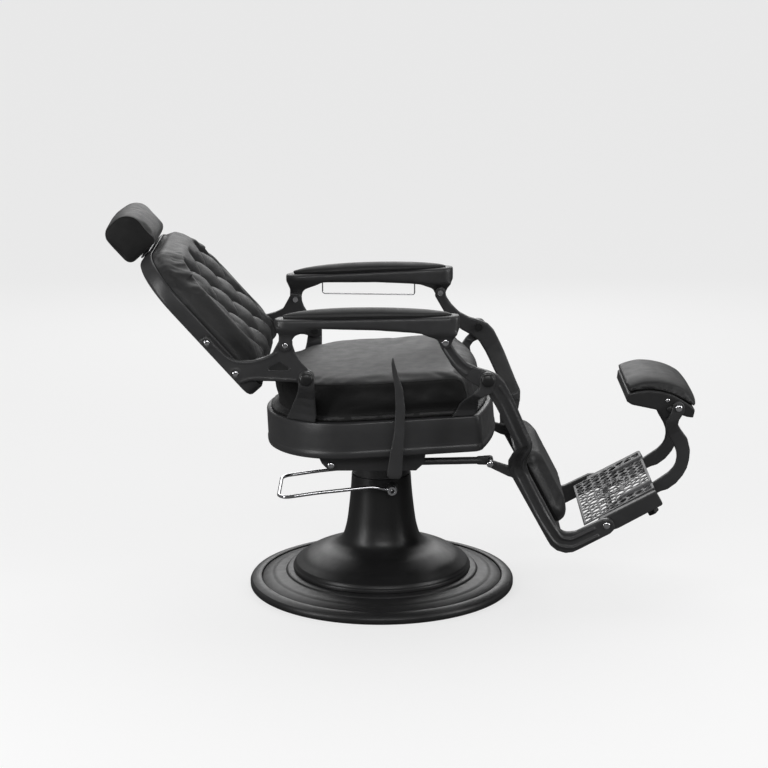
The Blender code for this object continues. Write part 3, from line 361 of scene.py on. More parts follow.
def ribs(path, half_gap, width, height, outward):
    """Two raised ribs beside each other along a path, standing out by height."""
    made = []
    path = [Vector(p) for p in path]
    for side in (-1, 1):
        points = []
        for k, here in enumerate(path):
            run = (path[min(k + 1, len(path) - 1)] - path[max(k - 1, 0)]).normalized()
            across = run.cross(outward).normalized()
            points.append(here + across * side * half_gap + outward * height)
        made.append(tube(points, width, 8))
    return joined(*made)


# ---------------------------------------------------------------- materials
MATERIALS = {}


class Shader:
    """One procedural material: a Principled BSDF with noise driving colour, gloss and bump."""

    def __init__(self, name, roughness, metallic=0.0):
        self.material = bpy.data.materials.new(name)
        self.material.use_nodes = True
        self.tree = self.material.node_tree
        self.principled = self.tree.nodes["Principled BSDF"]
        self.principled.inputs["Metallic"].default_value = metallic
        self.principled.inputs["Roughness"].default_value = roughness
        self.coords = self.tree.nodes.new("ShaderNodeTexCoord").outputs["Object"]
        self.height = None

    def set(self, **values):
        for key, value in values.items():
            self.principled.inputs[key.replace("_", " ")].default_value = value

    def stretched(self, scale):
        node = self.tree.nodes.new("ShaderNodeMapping")
        node.inputs["Scale"].default_value = scale
        self.tree.links.new(self.coords, node.inputs["Vector"])
        return node.outputs["Vector"]

    def noise(self, scale, detail=3.0, vector=None):
        node = self.tree.nodes.new("ShaderNodeTexNoise")
        node.inputs["Scale"].default_value = scale
        node.inputs["Detail"].default_value = detail
        self.tree.links.new(vector or self.coords, node.inputs["Vector"])
        return node.outputs["Fac"]

    def cells(self, scale):
        node = self.tree.nodes.new("ShaderNodeTexVoronoi")
        node.feature = "DISTANCE_TO_EDGE"
        node.inputs["Scale"].default_value = scale
        self.tree.links.new(self.coords, node.inputs["Vector"])
        return node.outputs["Distance"]

    def spread(self, source, low, high, start=0.3, end=0.7):
        node = self.tree.nodes.new("ShaderNodeMapRange")
        for key, value in (("From Min", start), ("From Max", end), ("To Min", low),
                           ("To Max", high)):
            node.inputs[key].default_value = value
        self.tree.links.new(source, node.inputs["Value"])
        return node.outputs["Result"]

    def colour(self, source, low, high, start=0.3, end=0.7):
        ramp = self.tree.nodes.new("ShaderNodeValToRGB")
        ramp.color_ramp.elements[0].position = start
        ramp.color_ramp.elements[1].position = end
        ramp.color_ramp.elements[0].color = (*low, 1)
        ramp.color_ramp.elements[1].color = (*high, 1)
        self.tree.links.new(source, ramp.inputs["Fac"])
        self.tree.links.new(ramp.outputs["Color"], self.principled.inputs["Base Color"])

    def gloss(self, source, low, high):
        self.tree.links.new(self.spread(source, low, high), self.principled.inputs["Roughness"])

    def bump(self, source, depth, distance=0.001):
        node = self.tree.nodes.new("ShaderNodeBump")
        node.inputs["Strength"].default_value = depth
        node.inputs["Distance"].default_value = distance
        self.tree.links.new(source, node.inputs["Height"])
        if self.height:
            self.tree.links.new(self.height, node.inputs["Normal"])
        self.height = node.outputs["Normal"]
        self.tree.links.new(self.height, self.principled.inputs["Normal"])


def grey(value):
    return (value, value, value * 1.03)


def make_materials():
    """Powder coat, castings, leatherette with a darker painted-shade copy, chrome and the hidden metals."""
    for name, low, high, rough_low, rough_high, grain, depth in (
            ("paint", 0.034, 0.042, 0.34, 0.42, 900, 0.10),
            ("cast", 0.036, 0.048, 0.33, 0.44, 420, 0.22),
            ("iron", 0.014, 0.020, 0.36, 0.44, 700, 0.10),
            ("gloss", 0.010, 0.014, 0.34, 0.40, 800, 0.06),
            ("grating", 0.090, 0.140, 0.34, 0.46, 380, 0.30),
            ("pan", 0.020, 0.026, 0.40, 0.50, 500, 0.15)):
        shader = Shader(name, rough_low)
        shader.colour(shader.noise(14, 5), grey(low), grey(high))
        shader.gloss(shader.noise(60, 4), rough_low, rough_high)
        shader.bump(shader.noise(grain, 2), depth, 0.0006)
        shader.bump(shader.noise(18, 3), 0.10, 0.0012)
        MATERIALS[name] = shader.material

    # The second leatherette is a much darker copy of hide: painted shade for cushion sides turned away from the
    # light; the piped seams are drawn in it as dark welts.
    for name, low, high, rough in (("hide", 0.013, 0.020, 0.50), ("hide_side", 0.001, 0.003, 0.74)):
        shader = Shader(name, rough)
        shader.set(Sheen_Weight=0.04, Sheen_Roughness=0.45)
        shader.colour(shader.noise(9, 6), grey(low), grey(high))
        shader.gloss(shader.noise(40, 4), rough - 0.04, rough + 0.06)
        shader.bump(shader.spread(shader.cells(620), 0, 1, 0.0, 0.35), 0.16, 0.0004)
        shader.bump(shader.noise(150, 5), 0.14, 0.0009)
        shader.bump(shader.noise(26, 4), 0.16, 0.0022)
        MATERIALS[name] = shader.material

    shader = Shader("chrome", 0.08, metallic=1.0)
    shader.colour(shader.noise(20, 3), (0.70, 0.70, 0.72), (0.82, 0.82, 0.84))
    shader.gloss(shader.noise(90, 4), 0.05, 0.13)
    shader.bump(shader.noise(300, 2), 0.04, 0.0004)
    MATERIALS["chrome"] = shader.material

    for name, low, high in (("steel", (0.36, 0.36, 0.37), (0.48, 0.48, 0.49)),
                            ("bronze", (0.42, 0.29, 0.13), (0.55, 0.40, 0.20))):
        shader = Shader(name, 0.35, metallic=1.0)
        lines = shader.noise(60, 4, shader.stretched((1, 1, 14)))
        shader.colour(lines, low, high)
        shader.gloss(lines, 0.28, 0.44)
        shader.bump(lines, 0.08, 0.0005)
        MATERIALS[name] = shader.material

    shader = Shader("plywood", 0.65)
    grain = shader.noise(12, 6, shader.stretched((2, 14, 14)))
    shader.colour(grain, (0.33, 0.21, 0.11), (0.52, 0.37, 0.22))
    shader.bump(grain, 0.15, 0.0008)
    MATERIALS["plywood"] = shader.material

    shader = Shader("plastic", 0.42)
    shader.colour(shader.noise(30, 3), grey(0.012), grey(0.018))
    shader.gloss(shader.noise(120, 3), 0.38, 0.50)
    shader.bump(shader.noise(500, 2), 0.12, 0.0005)
    MATERIALS["plastic"] = shader.material


# ---------------------------------------------------------------- soft goods


def soft_piece(name, bm, body, node, voxel):
    """The even skin of a cushion, ready to be inflated."""
    return remeshed(thing(name, bm, "hide", body, node), "hide", voxel)


def inflate(piece, cap, held, pressure=4.0, frames=20):
    """Blow the cover up a little as cloth; held(point) says which points stay put."""
    rest = [v.co.copy() for v in piece.data.vertices]
    pins = piece.vertex_groups.new(name="held")
    pins.add([v.index for v in piece.data.vertices if held(v.co)], 1.0, "REPLACE")
    cloth = piece.modifiers.new("cloth", "CLOTH")
    settings = cloth.settings
    settings.quality = 5
    settings.mass = 0.25
    settings.tension_stiffness = 14
    settings.compression_stiffness = 14
    settings.shear_stiffness = 6
    settings.bending_stiffness = 0.6
    settings.use_pressure = True
    settings.uniform_pressure_force = pressure
    settings.effector_weights.gravity = 0
    settings.vertex_group_mass = "held"
    scene = bpy.context.scene
    for number in range(1, frames + 1):
        scene.frame_set(number)
    baked(piece)
    scene.frame_set(1)
    for vertex, start in zip(piece.data.vertices, rest):
        move = vertex.co - start
        if move.length > cap:
            vertex.co = start + move * (cap / move.length)
    relax = piece.modifiers.new("relax", "SMOOTH")
    relax.iterations = 3
    baked(piece)
    subdivided(piece)
    piece.data.shade_smooth()


def subdivided(piece):
    step = piece.modifiers.new("round", "SUBSURF")
    step.levels = step.render_levels = 1
    baked(piece)


def surface_of(piece):
    return BVHTree.FromPolygons([v.co[:] for v in piece.data.vertices],
                                [p.vertices[:] for p in piece.data.polygons])


def piping(name, piece, path, radius, body, closed=False, sink=0.3):
    """A piped seam that follows the finished surface of a cushion."""
    tree = surface_of(piece)
    points = []
    for point in path:
        near, normal, _, _ = tree.find_nearest(Vector(point))
        points.append(near - normal * radius * sink)
    for _ in range(2):
        smooth = []
        for k, point in enumerate(points):
            if not closed and k in (0, len(points) - 1):
                smooth.append(point)
                continue
            smooth.append((points[k - 1] + 2 * point + points[(k + 1) % len(points)]) / 4)
        points = smooth
    return thing(name, tube(points, radius, 8, closed), "hide_side", body)


# ---------------------------------------------------------------- base and column


def make_base():
    plate_r, rim_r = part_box("base_plate")[1].x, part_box("base_trim_ring")[1].x
    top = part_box("base_plate")[1].z
    profile = [(0, 0), (0.060, 0), (0.066, 0.028), (0.215, 0.026), (0.276, 0.012), (0.285, 0),
               (plate_r, 0), (plate_r, 0.0195), (plate_r - 0.0015, 0.0205), (0.288, 0.0245),
               (0.276, 0.0280), (0.2725, 0.0285), (0.2705, 0.0297), (0.262, 0.0312),
               (0.246, 0.0338), (0.240, 0.0352), (0.2375, 0.0385), (0.234, 0.0400),
               (0.200, top), (0, top)]
    piece = thing("base_disc", turned(profile, (0, 0, 0), (0, 0, 1), 160), "iron", "base",
                  "base_plate", angle=30)
    bevel(piece, 0.0008, 2, 25)

    inner = plate_r + 0.0012
    profile = [(inner, 0), (0.3275, 0), (rim_r - 0.0006, 0.0012), (rim_r, 0.004),
               (rim_r, 0.0115), (rim_r - 0.0012, 0.0142), (rim_r - 0.0045, 0.0182),
               (0.316, 0.0222), (0.3085, 0.0240), (0.3035, 0.0240), (inner, 0.0222)]
    piece = thing("floor_ring", turned(profile, (0, 0, 0), (0, 0, 1), 160), "iron", "base",
                  "base_trim_ring", angle=30)
    bevel(piece, 0.0008, 2, 25)

    low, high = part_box("column_skirt")
    shape = curve_through([(0.216, 0.0585), (0.202, 0.0680), (0.184, 0.0795), (0.152, 0.0925),
                           (0.124, 0.1015), (0.107, 0.1110), (0.0965, 0.1240), (0.0895, 0.1450),
                           (0.0845, 0.1700), (0.0790, 0.2150), (0.0757, 0.2500),
                           (0.0735, high.z)], 5)
    rim = [(high.x, low.z), (high.x, 0.0485), (high.x - 0.0008, 0.0500),
           (high.x - 0.0025, 0.0512), (high.x - 0.0045, 0.0538)]
    inside = [(0.0685, high.z), (0.0710, 0.245), (0.0765, 0.180), (0.0835, 0.135),
              (0.110, 0.096), (0.175, 0.075), (0.206, 0.056), (0.214, low.z)]
    outline = rim + [tuple(p) for p in shape] + inside
    thing("column", turned(outline, (0, 0, 0), (0, 0, 1), 128), "gloss", "base", "column_skirt",
          angle=50)

    for side, sign in SIDES:
        profile = [(0, 0.058), (0.0150, 0.058), (0.0145, 0.080), (0.0128, 0.0855),
                   (0.0128, 0.0880), (0.0115, 0.0892), (0.0060, 0.0892), (0.0060, 0.0860),
                   (0, 0.0860)]
        thing("pump_boss_" + side, turned_y(profile, PUMP_AXIS, sign, 40), "plastic", "base",
              slot="steel_paint")
        profile = [(0.0050, 0.0925), (0.0108, 0.0925), (0.0122, 0.0940), (0.0122, 0.1020),
                   (0.0108, 0.1045), (0.0062, 0.1045), (0.0050, 0.1030)]
        thing("pump_ring_" + side, turned_y(profile, PUMP_AXIS, sign, 40), "chrome", "pump_lever")
        profile = [(0, 0.0930), (0.0049, 0.0930), (0.0049, 0.1015), (0.0030, 0.1025), (0, 0.1025)]
        thing("pump_plug_" + side, turned_y(profile, PUMP_AXIS, sign, 24), "plastic", "pump_lever")


def make_lift():
    for node, finish in (("pump_cylinder", "steel"), ("guide_bush", "bronze"),
                         ("thrust_bearing", "steel")):
        NODES[node].data.materials.clear()
        NODES[node].data.materials.append(MATERIALS[finish])
    low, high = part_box("ram")
    r = high.x
    profile = [(0, low.z), (r - 0.003, low.z), (r, low.z + 0.004), (r, high.z), (0, high.z)]
    thing("ram_rod", turned(profile, (0, 0, 0), (0, 0, 1), 64), "chrome", "ram", "ram")


def make_pump_handle():
    """A chrome loop that leaves the column on both sides and closes behind it."""
    x, z = PUMP_AXIS
    reach, half, bar = 0.252, 0.100, 0.0045
    right = [(x, -0.058, z), (x, -half + 0.010, z), (x - 0.003, -half + 0.001, z + 0.0005),
             (x - 0.016, -half, z + 0.004), (x - 0.046, -half, z + 0.009),
             (x - 0.080, -half, z + 0.0065), (x - 0.130, -half, z + 0.0010),
             (x - 0.186, -half, z - 0.005), (-reach + 0.030, -half, z - 0.0140),
             (-reach + 0.012, -half + 0.005, z - 0.0155),
             (-reach + 0.001, -half + 0.022, z - 0.0163),
             (-reach, -half + 0.045, z - 0.0165), (-reach, -0.020, z - 0.0165)]
    path = curve_through(right + [(px, -py, pz) for px, py, pz in reversed(right)], 6)
    thing("pump_loop", tube(path, bar, 20), "chrome", "pump_lever", "pump_handle", angle=60)


# ---------------------------------------------------------------- seat


def make_hub():
    low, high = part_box("swivel_hub")
    r = high.x
    profile = [(r - 0.001, low.z), (r, low.z + 0.001), (r, high.z - 0.001), (r - 0.001, high.z),
               (0.020, high.z), (0.020, 0.3303), (0.0303, 0.3303), (0.0303, low.z)]
    thing("hub", turned(profile, (0, 0, 0), (0, 0, 1), 96), "paint", "chair", "swivel_hub")
    bm = node_mesh("underframe")
    bmesh.ops.dissolve_limit(bm, angle_limit=0.02, verts=bm.verts, edges=bm.edges)
    bevel(thing("underframe_channel", bm, "paint", "chair", "underframe"), 0.0016, 3)


def seat_ring(height, *insets, corner=0.020):
    return [SEAT.point(x, y, height) for x, y in seat_plan(*insets, corner=corner)]


def make_seat_box():
    """Painted pan: rolled foot, a faint bead above it, and a rim that turns in."""
    lip = 0.083
    levels = [(0.0000, 0.0080), (0.0006, 0.0045), (0.0028, 0.0014), (0.0060, 0.0004),
              (0.0110, 0.0000), (0.0165, 0.0002), (0.0185, 0.0014), (0.0205, 0.0018),
              (0.0300, 0.0018), (0.0600, 0.0024), (0.0840, 0.0030), (0.0868, 0.0038),
              (0.0884, 0.0056), (0.0890, 0.0080), (0.0890, 0.0300), (lip, 0.0300),
              (lip, 0.0090), (0.006, 0.0090)]
    thing("seat_pan", loft([seat_ring(h, inset) for h, inset in levels]), "paint", "chair",
          "seat_box", angle=50)
    board = loft([seat_ring(h, 0.027) for h in (0.0893, 0.0970)])
    bevel(thing("seat_ply", board, "plywood", "chair", "seat_board"), 0.001, 2)


SEAT_TOP, SEAT_NOSE = 0.186, 0.034


def nose_inset(height):
    """How far the cushion's rounded front falls back at a height."""
    over = height - (SEAT_TOP - SEAT_NOSE)
    return 0.028 + (SEAT_NOSE - math.sqrt(max(SEAT_NOSE ** 2 - over ** 2, 0)) if over > 0 else 0)


def make_seat_cushion():
    foot = 0.0982
    levels = [(0.0893, 0.0120), (0.0960, 0.0115), (foot + 0.001, 0.0170), (0.104, 0.0185),
              (0.120, 0.0140), (0.140, 0.0080), (0.160, 0.0030), (0.172, 0.0010),
              (0.180, 0.0010), (0.1840, 0.0030), (SEAT_TOP, 0.0080),
              (SEAT_TOP + 0.0015, 0.0300), (SEAT_TOP + 0.0030, 0.0700)]
    rings = []
    for h, inset in levels:
        front = nose_inset(min(h, SEAT_TOP - 0.001)) + max(0, h - SEAT_TOP) * 12
        rear = inset + 0.020
        if h < foot:
            front = rear = inset
        rings.append(seat_ring(h, inset, front, rear, corner=0.014))
    piece = soft_piece("seat_pad", loft(rings), "chair", "seat_cushion", 0.0055)
    inflate(piece, 0.007, lambda p: SEAT.local(p)[2] < 0.114, pressure=3.0)
    piece.data.materials.append(MATERIALS["hide_side"])
    # Side and rear faces below the top take the darker leatherette: painted shade on the boxing that is turned
    # away from the light.
    for face in piece.data.polygons:
        a, _, h = SEAT.local(face.center)
        upward = face.normal.dot(SEAT.vector(0, 1))
        sideways = abs(face.normal.y) > 0.55 or a < SEAT_REAR_X
        if h < SEAT_TOP - 0.004 and upward < 0.45 and sideways:
            face.material_index = 1

    path = []
    half = SEAT_HALF + 0.002
    front_x = SEAT_FRONT_X - 0.030
    for sign in (-1, 1):
        edge = [(front_x - SEAT_NOSE + 0.004 + SEAT_NOSE * math.sin(t),
                 SEAT_TOP - SEAT_NOSE + SEAT_NOSE * math.cos(t))
                for t in (math.radians(94 - 9.4 * k) for k in range(11))]
        side = [SEAT.point(front_x - 0.004, sign * (half - 0.018), foot + 0.004 + 0.0065 * k)
                for k in range(8)]
        side += [SEAT.point(a, sign * half, h) for a, h in edge]
        side += [SEAT.point(front_x - SEAT_NOSE - 0.012 * k, sign * half, SEAT_TOP)
                 for k in range(1, 19)]
        path.append(side)
    rear = [SEAT.point(SEAT_REAR_X + (SEAT_REAR_R - 0.018) * math.cos(t),
                       -half * math.sin(t), SEAT_TOP)
            for t in (math.radians(96 + 3.0 * k) for k in range(57))]
    piping("seat_piping", piece, path[0] + rear + path[1][::-1], 0.0020, "chair", sink=0.2)
    foot_line = [SEAT.point(x, y, foot + 0.004) for x, y in seat_plan(0.018, 0.032, 0.036)]
    piping("seat_foot_seam", piece, foot_line[::2], 0.0022, "chair", closed=True, sink=0.2)


# ---------------------------------------------------------------- brackets, lever, bolts


def make_brackets():
    for side, sign in SIDES:
        bm = joined(node_mesh("front_bracket_" + side),
                    boss(PIVOT_D, 0, 0.0185, 0.298, 0.3145, sign))
        cast("front_strap_" + side, bm, "cast", "chair", "front_bracket_" + side,
             voxel=0.0018, passes=9)
        bm = node_mesh("rear_bracket_" + side)
        cast("rear_strap_" + side, bm, "cast", "chair", "rear_bracket_" + side,
             voxel=0.0018, passes=9)


def make_lever():
    cast("recline_lever", node_mesh("side_lever"), "cast", "release_lever", "side_lever",
         voxel=0.0017, passes=12)


def dome(radius, start, rise, steps=7):
    """Profile of a domed cap from its foot up to the axis."""
    return [(radius * math.cos(t), start + rise * math.sin(t))
            for t in (math.radians(90 * k / steps) for k in range(steps))] + [(0, start + rise)]


def bolt(node, sign, nut, shank, head, finish="chrome"):
    """A turned bolt along y: nut and head are (radius, length), ends from the CAD node."""
    low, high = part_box(node)
    near, far = sorted((abs(low.y), abs(high.y)))
    nut_r, nut_l = nut
    head_r, head_l = head
    straight = 0.35 * head_l
    profile = [(0, near), (nut_r - 0.0006, near), (nut_r, near + 0.0006), (nut_r, near + nut_l),
               (shank, near + nut_l), (shank, far - head_l), (head_r, far - head_l)]
    profile += dome(head_r, far - head_l + straight, head_l - straight)
    bm = turned_y(profile, middle_xz(node), sign, 40)
    thing(node + "_turned", bm, finish, BODY_OF[node], node)


PAIRED_BOLTS = (("front_pivot_bolt_", (0.0100, 0.0082), 0.0060, (0.0160, 0.0102), "gloss"),
                ("rear_pivot_bolt_", (0.0100, 0.0082), 0.0060, (0.0160, 0.0100), "gloss"),
                ("tray_bolt_", (0.0085, 0.0075), 0.0050, (0.0085, 0.0045), "chrome"),
                ("foot_bolt_", (0.0040, 0.0040), 0.0040, (0.0085, 0.0050), "chrome"),
                ("armrest_screw_rear_", (0.0070, 0.0047), 0.0040, (0.0065, 0.0025), "chrome"),
                ("armrest_screw_front_", (0.0075, 0.0050), 0.0040, (0.0075, 0.0025), "chrome"),
                ("back_bolt_upper_", (0.0035, 0.0025), 0.0035, (0.0068, 0.0032), "chrome"),
                ("back_bolt_lower_", (0.0035, 0.0025), 0.0035, (0.0068, 0.0032), "chrome"))


def make_bolts():
    for side, sign in SIDES:
        for name, nut, shank, head, finish in PAIRED_BOLTS:
            bolt(name + side, sign, nut, shank, head, finish)
    bolt("crank_pin", -1, (0.0070, 0.0060), 0.0030, (0.0085, 0.0067))
    bolt("lock_anchor_bolt", -1, (0.0080, 0.0035), 0.0040, (0.0085, 0.0057))


# ---------------------------------------------------------------- back and headrest
BACK_HALF, BACK_LENGTH = 0.2575, 0.402


def back_ring(depth, inset, low=0.0, high=BACK_LENGTH, steps=16):
    outline = rounded_rectangle(BACK_HALF, low, high, 0.030, 0.130, inset, steps)
    return [BACK.point(t, y, depth) for y, t in outline]


def make_back_shell():
    """Painted shell with soft edges: the broad rail that frames the cushion."""
    levels = [(0.0000, 0.0120), (0.0008, 0.0070), (0.0030, 0.0030), (0.0065, 0.0008),
              (0.0110, 0.0000), (0.0340, 0.0000), (0.0368, 0.0006), (0.0380, 0.0018),
              (0.0380, 0.0030), (0.0350, 0.0034), (0.0040, 0.0040)]
    thing("back_pan", loft([back_ring(d, inset) for d, inset in levels]), "paint", "back",
          "back_shell", angle=50)


TUFT_Y, TUFT_T = 0.066, 0.067        # half spacing of the buttons across and along
TUFT_START = 0.057


def tuft_depth(t, y):
    """How deep the cover is drawn in: 1 at a button, about half along the folds."""
    p = y / TUFT_Y
    q = (t - TUFT_START) / TUFT_T
    along, across = (p + q) / 2, (p - q) / 2
    fold_a = abs(math.sin(math.pi * along))
    fold_b = abs(math.sin(math.pi * across))
    puff = (fold_a * fold_b) ** 0.42
    near = math.hypot((along - round(along)) * TUFT_Y * 2, (across - round(across)) * TUFT_T * 2)
    button = math.exp(-(near / 0.021) ** 2)
    return 0.58 * (1 - puff) + 0.50 * button


def tuft_fade(t, y):
    """1 over the tufted panel, 0 on the smooth roll round its edge."""
    side = 0.196 - abs(y)
    top = (BACK_LENGTH - 0.034) - t
    reach = min(side, top + 0.004, t + 0.020)
    corner = math.hypot(max(0, abs(y) - 0.120), max(0, t - (BACK_LENGTH - 0.150)))
    reach = min(reach, 0.092 - corner)
    return max(0.0, min(1.0, reach / 0.034)) ** 1.2


def button_spots():
    spots = []
    for row in range(5):
        t = TUFT_START + row * TUFT_T
        for column in range(-3, 4):
            if (row + column) % 2 == 0:
                y = column * TUFT_Y
                if abs(y) <= 2.2 * TUFT_Y and tuft_fade(t, y) > 0.55:
                    spots.append((t, y))
    return spots


def make_back_cushion():
    levels = [(0.0245, 0.0060), (0.0300, 0.0050), (0.0400, 0.0048), (0.0480, 0.0040),
              (0.0560, 0.0045), (0.0640, 0.0085), (0.0710, 0.0160), (0.0765, 0.0270),
              (0.0800, 0.0420), (0.0818, 0.0620), (0.0822, 0.0820)]
    piece = soft_piece("back_pad", loft([back_ring(d, inset) for d, inset in levels]), "back",
                       "back_cushion", 0.0050)
    inflate(piece, 0.007, lambda p: BACK.local(p)[2] < 0.040, pressure=3.5)
    normal = BACK.vector(0, 1)
    turned_to = [vertex.normal.dot(normal) for vertex in piece.data.vertices]
    for vertex, facing in zip(piece.data.vertices, turned_to):
        t, y, d = BACK.local(vertex.co)
        if d < 0.045 or facing < 0.15:
            continue
        fade = tuft_fade(t, y) * min(1.0, facing * 1.6)
        roll = math.exp(-((0.192 - abs(y)) / 0.016) ** 2) if t < BACK_LENGTH - 0.10 else 0.0
        ripple = noise.noise(Vector((t * 30, y * 30, 4.0))) * 0.0012
        depth = 0.031 * fade * tuft_depth(t, y) + 0.0040 * roll
        vertex.co -= normal * (depth + ripple * fade)
    relax = piece.modifiers.new("relax", "SMOOTH")
    relax.iterations = 2
    baked(piece)
    piece.data.shade_smooth()

    tree = surface_of(piece)
    made = []
    for t, y in button_spots():
        start = BACK.point(t, y, 0.12)
        hit, _, _, _ = tree.ray_cast(start, -normal)
        if hit is None:
            continue
        profile = [(0, -0.0030), (0.0060, -0.0030), (0.0078, -0.0012), (0.0082, 0.0004),
                   (0.0074, 0.0020), (0.0050, 0.0032), (0, 0.0036)]
        made.append(turned(profile, hit, normal, 24))
    thing("back_buttons", joined(*made), "hide", "back", angle=60)


def boss(xz, inner, radius, low, high, sign):
    """A raised round or ring-shaped boss about a line across the chair."""
    return turned_y([(inner, low), (radius, low), (radius, high), (inner, high)], xz, sign, 32)


def make_back_plates():
    """Side castings: raised rims, a sunk triangular window drawn as a raised ring round a dark sheet of painted
    shade, and round bosses.
    """
    for side, sign in SIDES:
        outer = max(abs(corner.y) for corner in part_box("back_plate_" + side))
        extras = []
        for xz, r in ((PIVOT_A, 0.0185), (PIVOT_B, 0.0165)):
            extras.append(boss(xz, 0, r, outer - 0.004, outer + 0.0008, sign))
        for node in ("back_bolt_upper_", "back_bolt_lower_"):
            extras.append(boss(middle_xz(node + side), 0.0088, 0.0122, outer - 0.003,
                               outer + 0.0016, sign))
        upper = [(-0.408, 0.6870), (-0.370, 0.6500), (-0.350, 0.6345), (-0.328, 0.6275),
                 (-0.298, 0.6280), (-0.268, 0.6360), (-0.240, 0.6500)]
        lower = [(-0.3280, 0.5805), (-0.300, 0.5890), (-0.250, 0.5880), (-0.196, 0.5850)]
        front = [(-0.199, 0.6500), (-0.186, 0.6290), (-0.170, 0.6110)]
        for line in (upper, lower, front):
            points = [(x, sign * (outer - 0.0004), z) for x, z in curve_through(line, 5)]
            extras.append(tube(points, 0.0022, 8))
        bm = joined(node_mesh("back_plate_" + side), *extras)
        cast("back_strap_" + side, bm, "cast", "back", "back_plate_" + side, voxel=0.0017,
             passes=6)
        window = rounded([(-0.272, 0.6085, 0.004), (-0.203, 0.6085, 0.004),
                          (-0.234, 0.6300, 0.005)], 5)
        centre = (-0.236, 0.6155)
        rings = []
        for scale, lift in ((1.12, 0.0002), (1.06, 0.0014), (0.96, 0.0010), (0.92, 0.0002)):
            rings.append([(centre[0] + (x - centre[0]) * scale, sign * (outer + lift - 0.0004),
                           centre[1] + (z - centre[1]) * scale) for x, z in window])
        thing("plate_window_" + side, loft(rings, closed=True), "cast", "back")
        # The window's floor is a thin sheet in the darker plastic finish, flush with the plate: painted shade in
        # the recess of a casting painted like the rest.
        recess = plate(window, sign * (outer - 0.001), sign * (outer + 0.0002))
        thing("plate_recess_shade_" + side, recess, "plastic", "back", slot="cast_paint")


def make_headrest():
    low, high, rear, front = 0.4095, 0.5160, -0.0270, 0.0660
    half = 0.111
    rings = []
    for y, inset in ((-half, 0.012), (-half + 0.0015, 0.005), (-half + 0.004, 0.0015),
                     (-half + 0.010, 0.0010), (-0.060, 0.0000), (0.0, -0.0005),
                     (0.060, 0.0000), (half - 0.010, 0.0010), (half - 0.004, 0.0015),
                     (half - 0.0015, 0.005), (half, 0.012)):
        outline = rounded([(low + inset, rear + inset, 0.016),
                           (high - inset, rear + inset, 0.026),
                           (high - inset, front - inset, 0.040),
                           (low + inset, front - inset, 0.016)], 8)
        rings.append([BACK.point(t, y, d) for t, d in outline])
    piece = soft_piece("headrest_pad", loft(rings), "headrest", "headrest_cushion", 0.0045)
    inflate(piece, 0.0035, lambda p: BACK.local(p)[0] < low + 0.002, pressure=2.5)
    piece.data.materials.append(MATERIALS["hide_side"])
    # The end faces of the headrest take the darker leatherette: painted shade on its sides.
    for face in piece.data.polygons:
        if abs(face.normal.y) > 0.72 and abs(face.center.y) > half - 0.016:
            face.material_index = 1
    for side, sign in SIDES:
        outline = rounded([(low, rear, 0.016), (high, rear, 0.026), (high, front, 0.040),
                           (low, front, 0.016)], 8)
        path = [BACK.point(t, sign * (half - 0.001), d) for t, d in evenly(
            [(t, d) for t, d in outline], 0.006)]
        piping("headrest_piping_" + side, piece, path, 0.0019, "headrest", closed=True)
    bm = node_mesh("headrest_bracket")
    cast("headrest_carrier", bm, "steel", "headrest", "headrest_bracket", voxel=0.0016, passes=3)


# ---------------------------------------------------------------- armrests


def armrest_top(x):
    return 0.7355 + 0.031 * (x + 0.23)


def armrest_mid(x):
    return 0.2815 + 0.066 * (x - PIVOT_B[0])


def blend_leg(top, foot, sign):
    """A fillet between the beam and a foot: rectangles (x0, x1, y0, y1, z), top to bottom."""
    rings = []
    for k in range(9):
        t = k / 8
        ease = t * t * (3 - 2 * t)
        x0, x1, y0, y1 = [a + (b - a) * ease for a, b in zip(top[:4], foot[:4])]
        z = top[4] + (foot[4] - top[4]) * t
        rings.append([(x0, sign * y0, z), (x1, sign * y0, z), (x1, sign * y1, z),
                      (x0, sign * y1, z)])
    return loft(rings)


def make_armrests():
    for side, sign in SIDES:
        body = BODY_OF["armrest_" + side]
        mid_r, mid_f = armrest_mid(-0.200), armrest_mid(0.150)
        rear = blend_leg((-0.240, -0.150, mid_r - 0.024, mid_r + 0.026, 0.7180),
                         (-0.232, -0.203, 0.2745, 0.2895, 0.6870), sign)
        front = blend_leg((0.096, 0.181, mid_f - 0.022, mid_f + 0.026, 0.7090),
                          (0.136, 0.169, 0.3002, 0.3158, 0.6850), sign)
        bm = joined(node_mesh("armrest_" + side), rear, front)
        cast("armrest_cast_" + side, bm, "cast", body, "armrest_" + side, voxel=0.0023,
             passes=26)
        make_armrest_pad(side, sign, body)


def pad_taper(s):
    """Share of the armrest pad's full width at s, from its rear end 0 to its front end 1."""
    rear = math.sin(math.pi * min(1.0, s / 0.36) / 2) ** 0.55
    front = math.sin(math.pi * min(1.0, (1 - s) / 0.30) / 2) ** 0.62 + 0.02
    return min(1.0, rear, front)


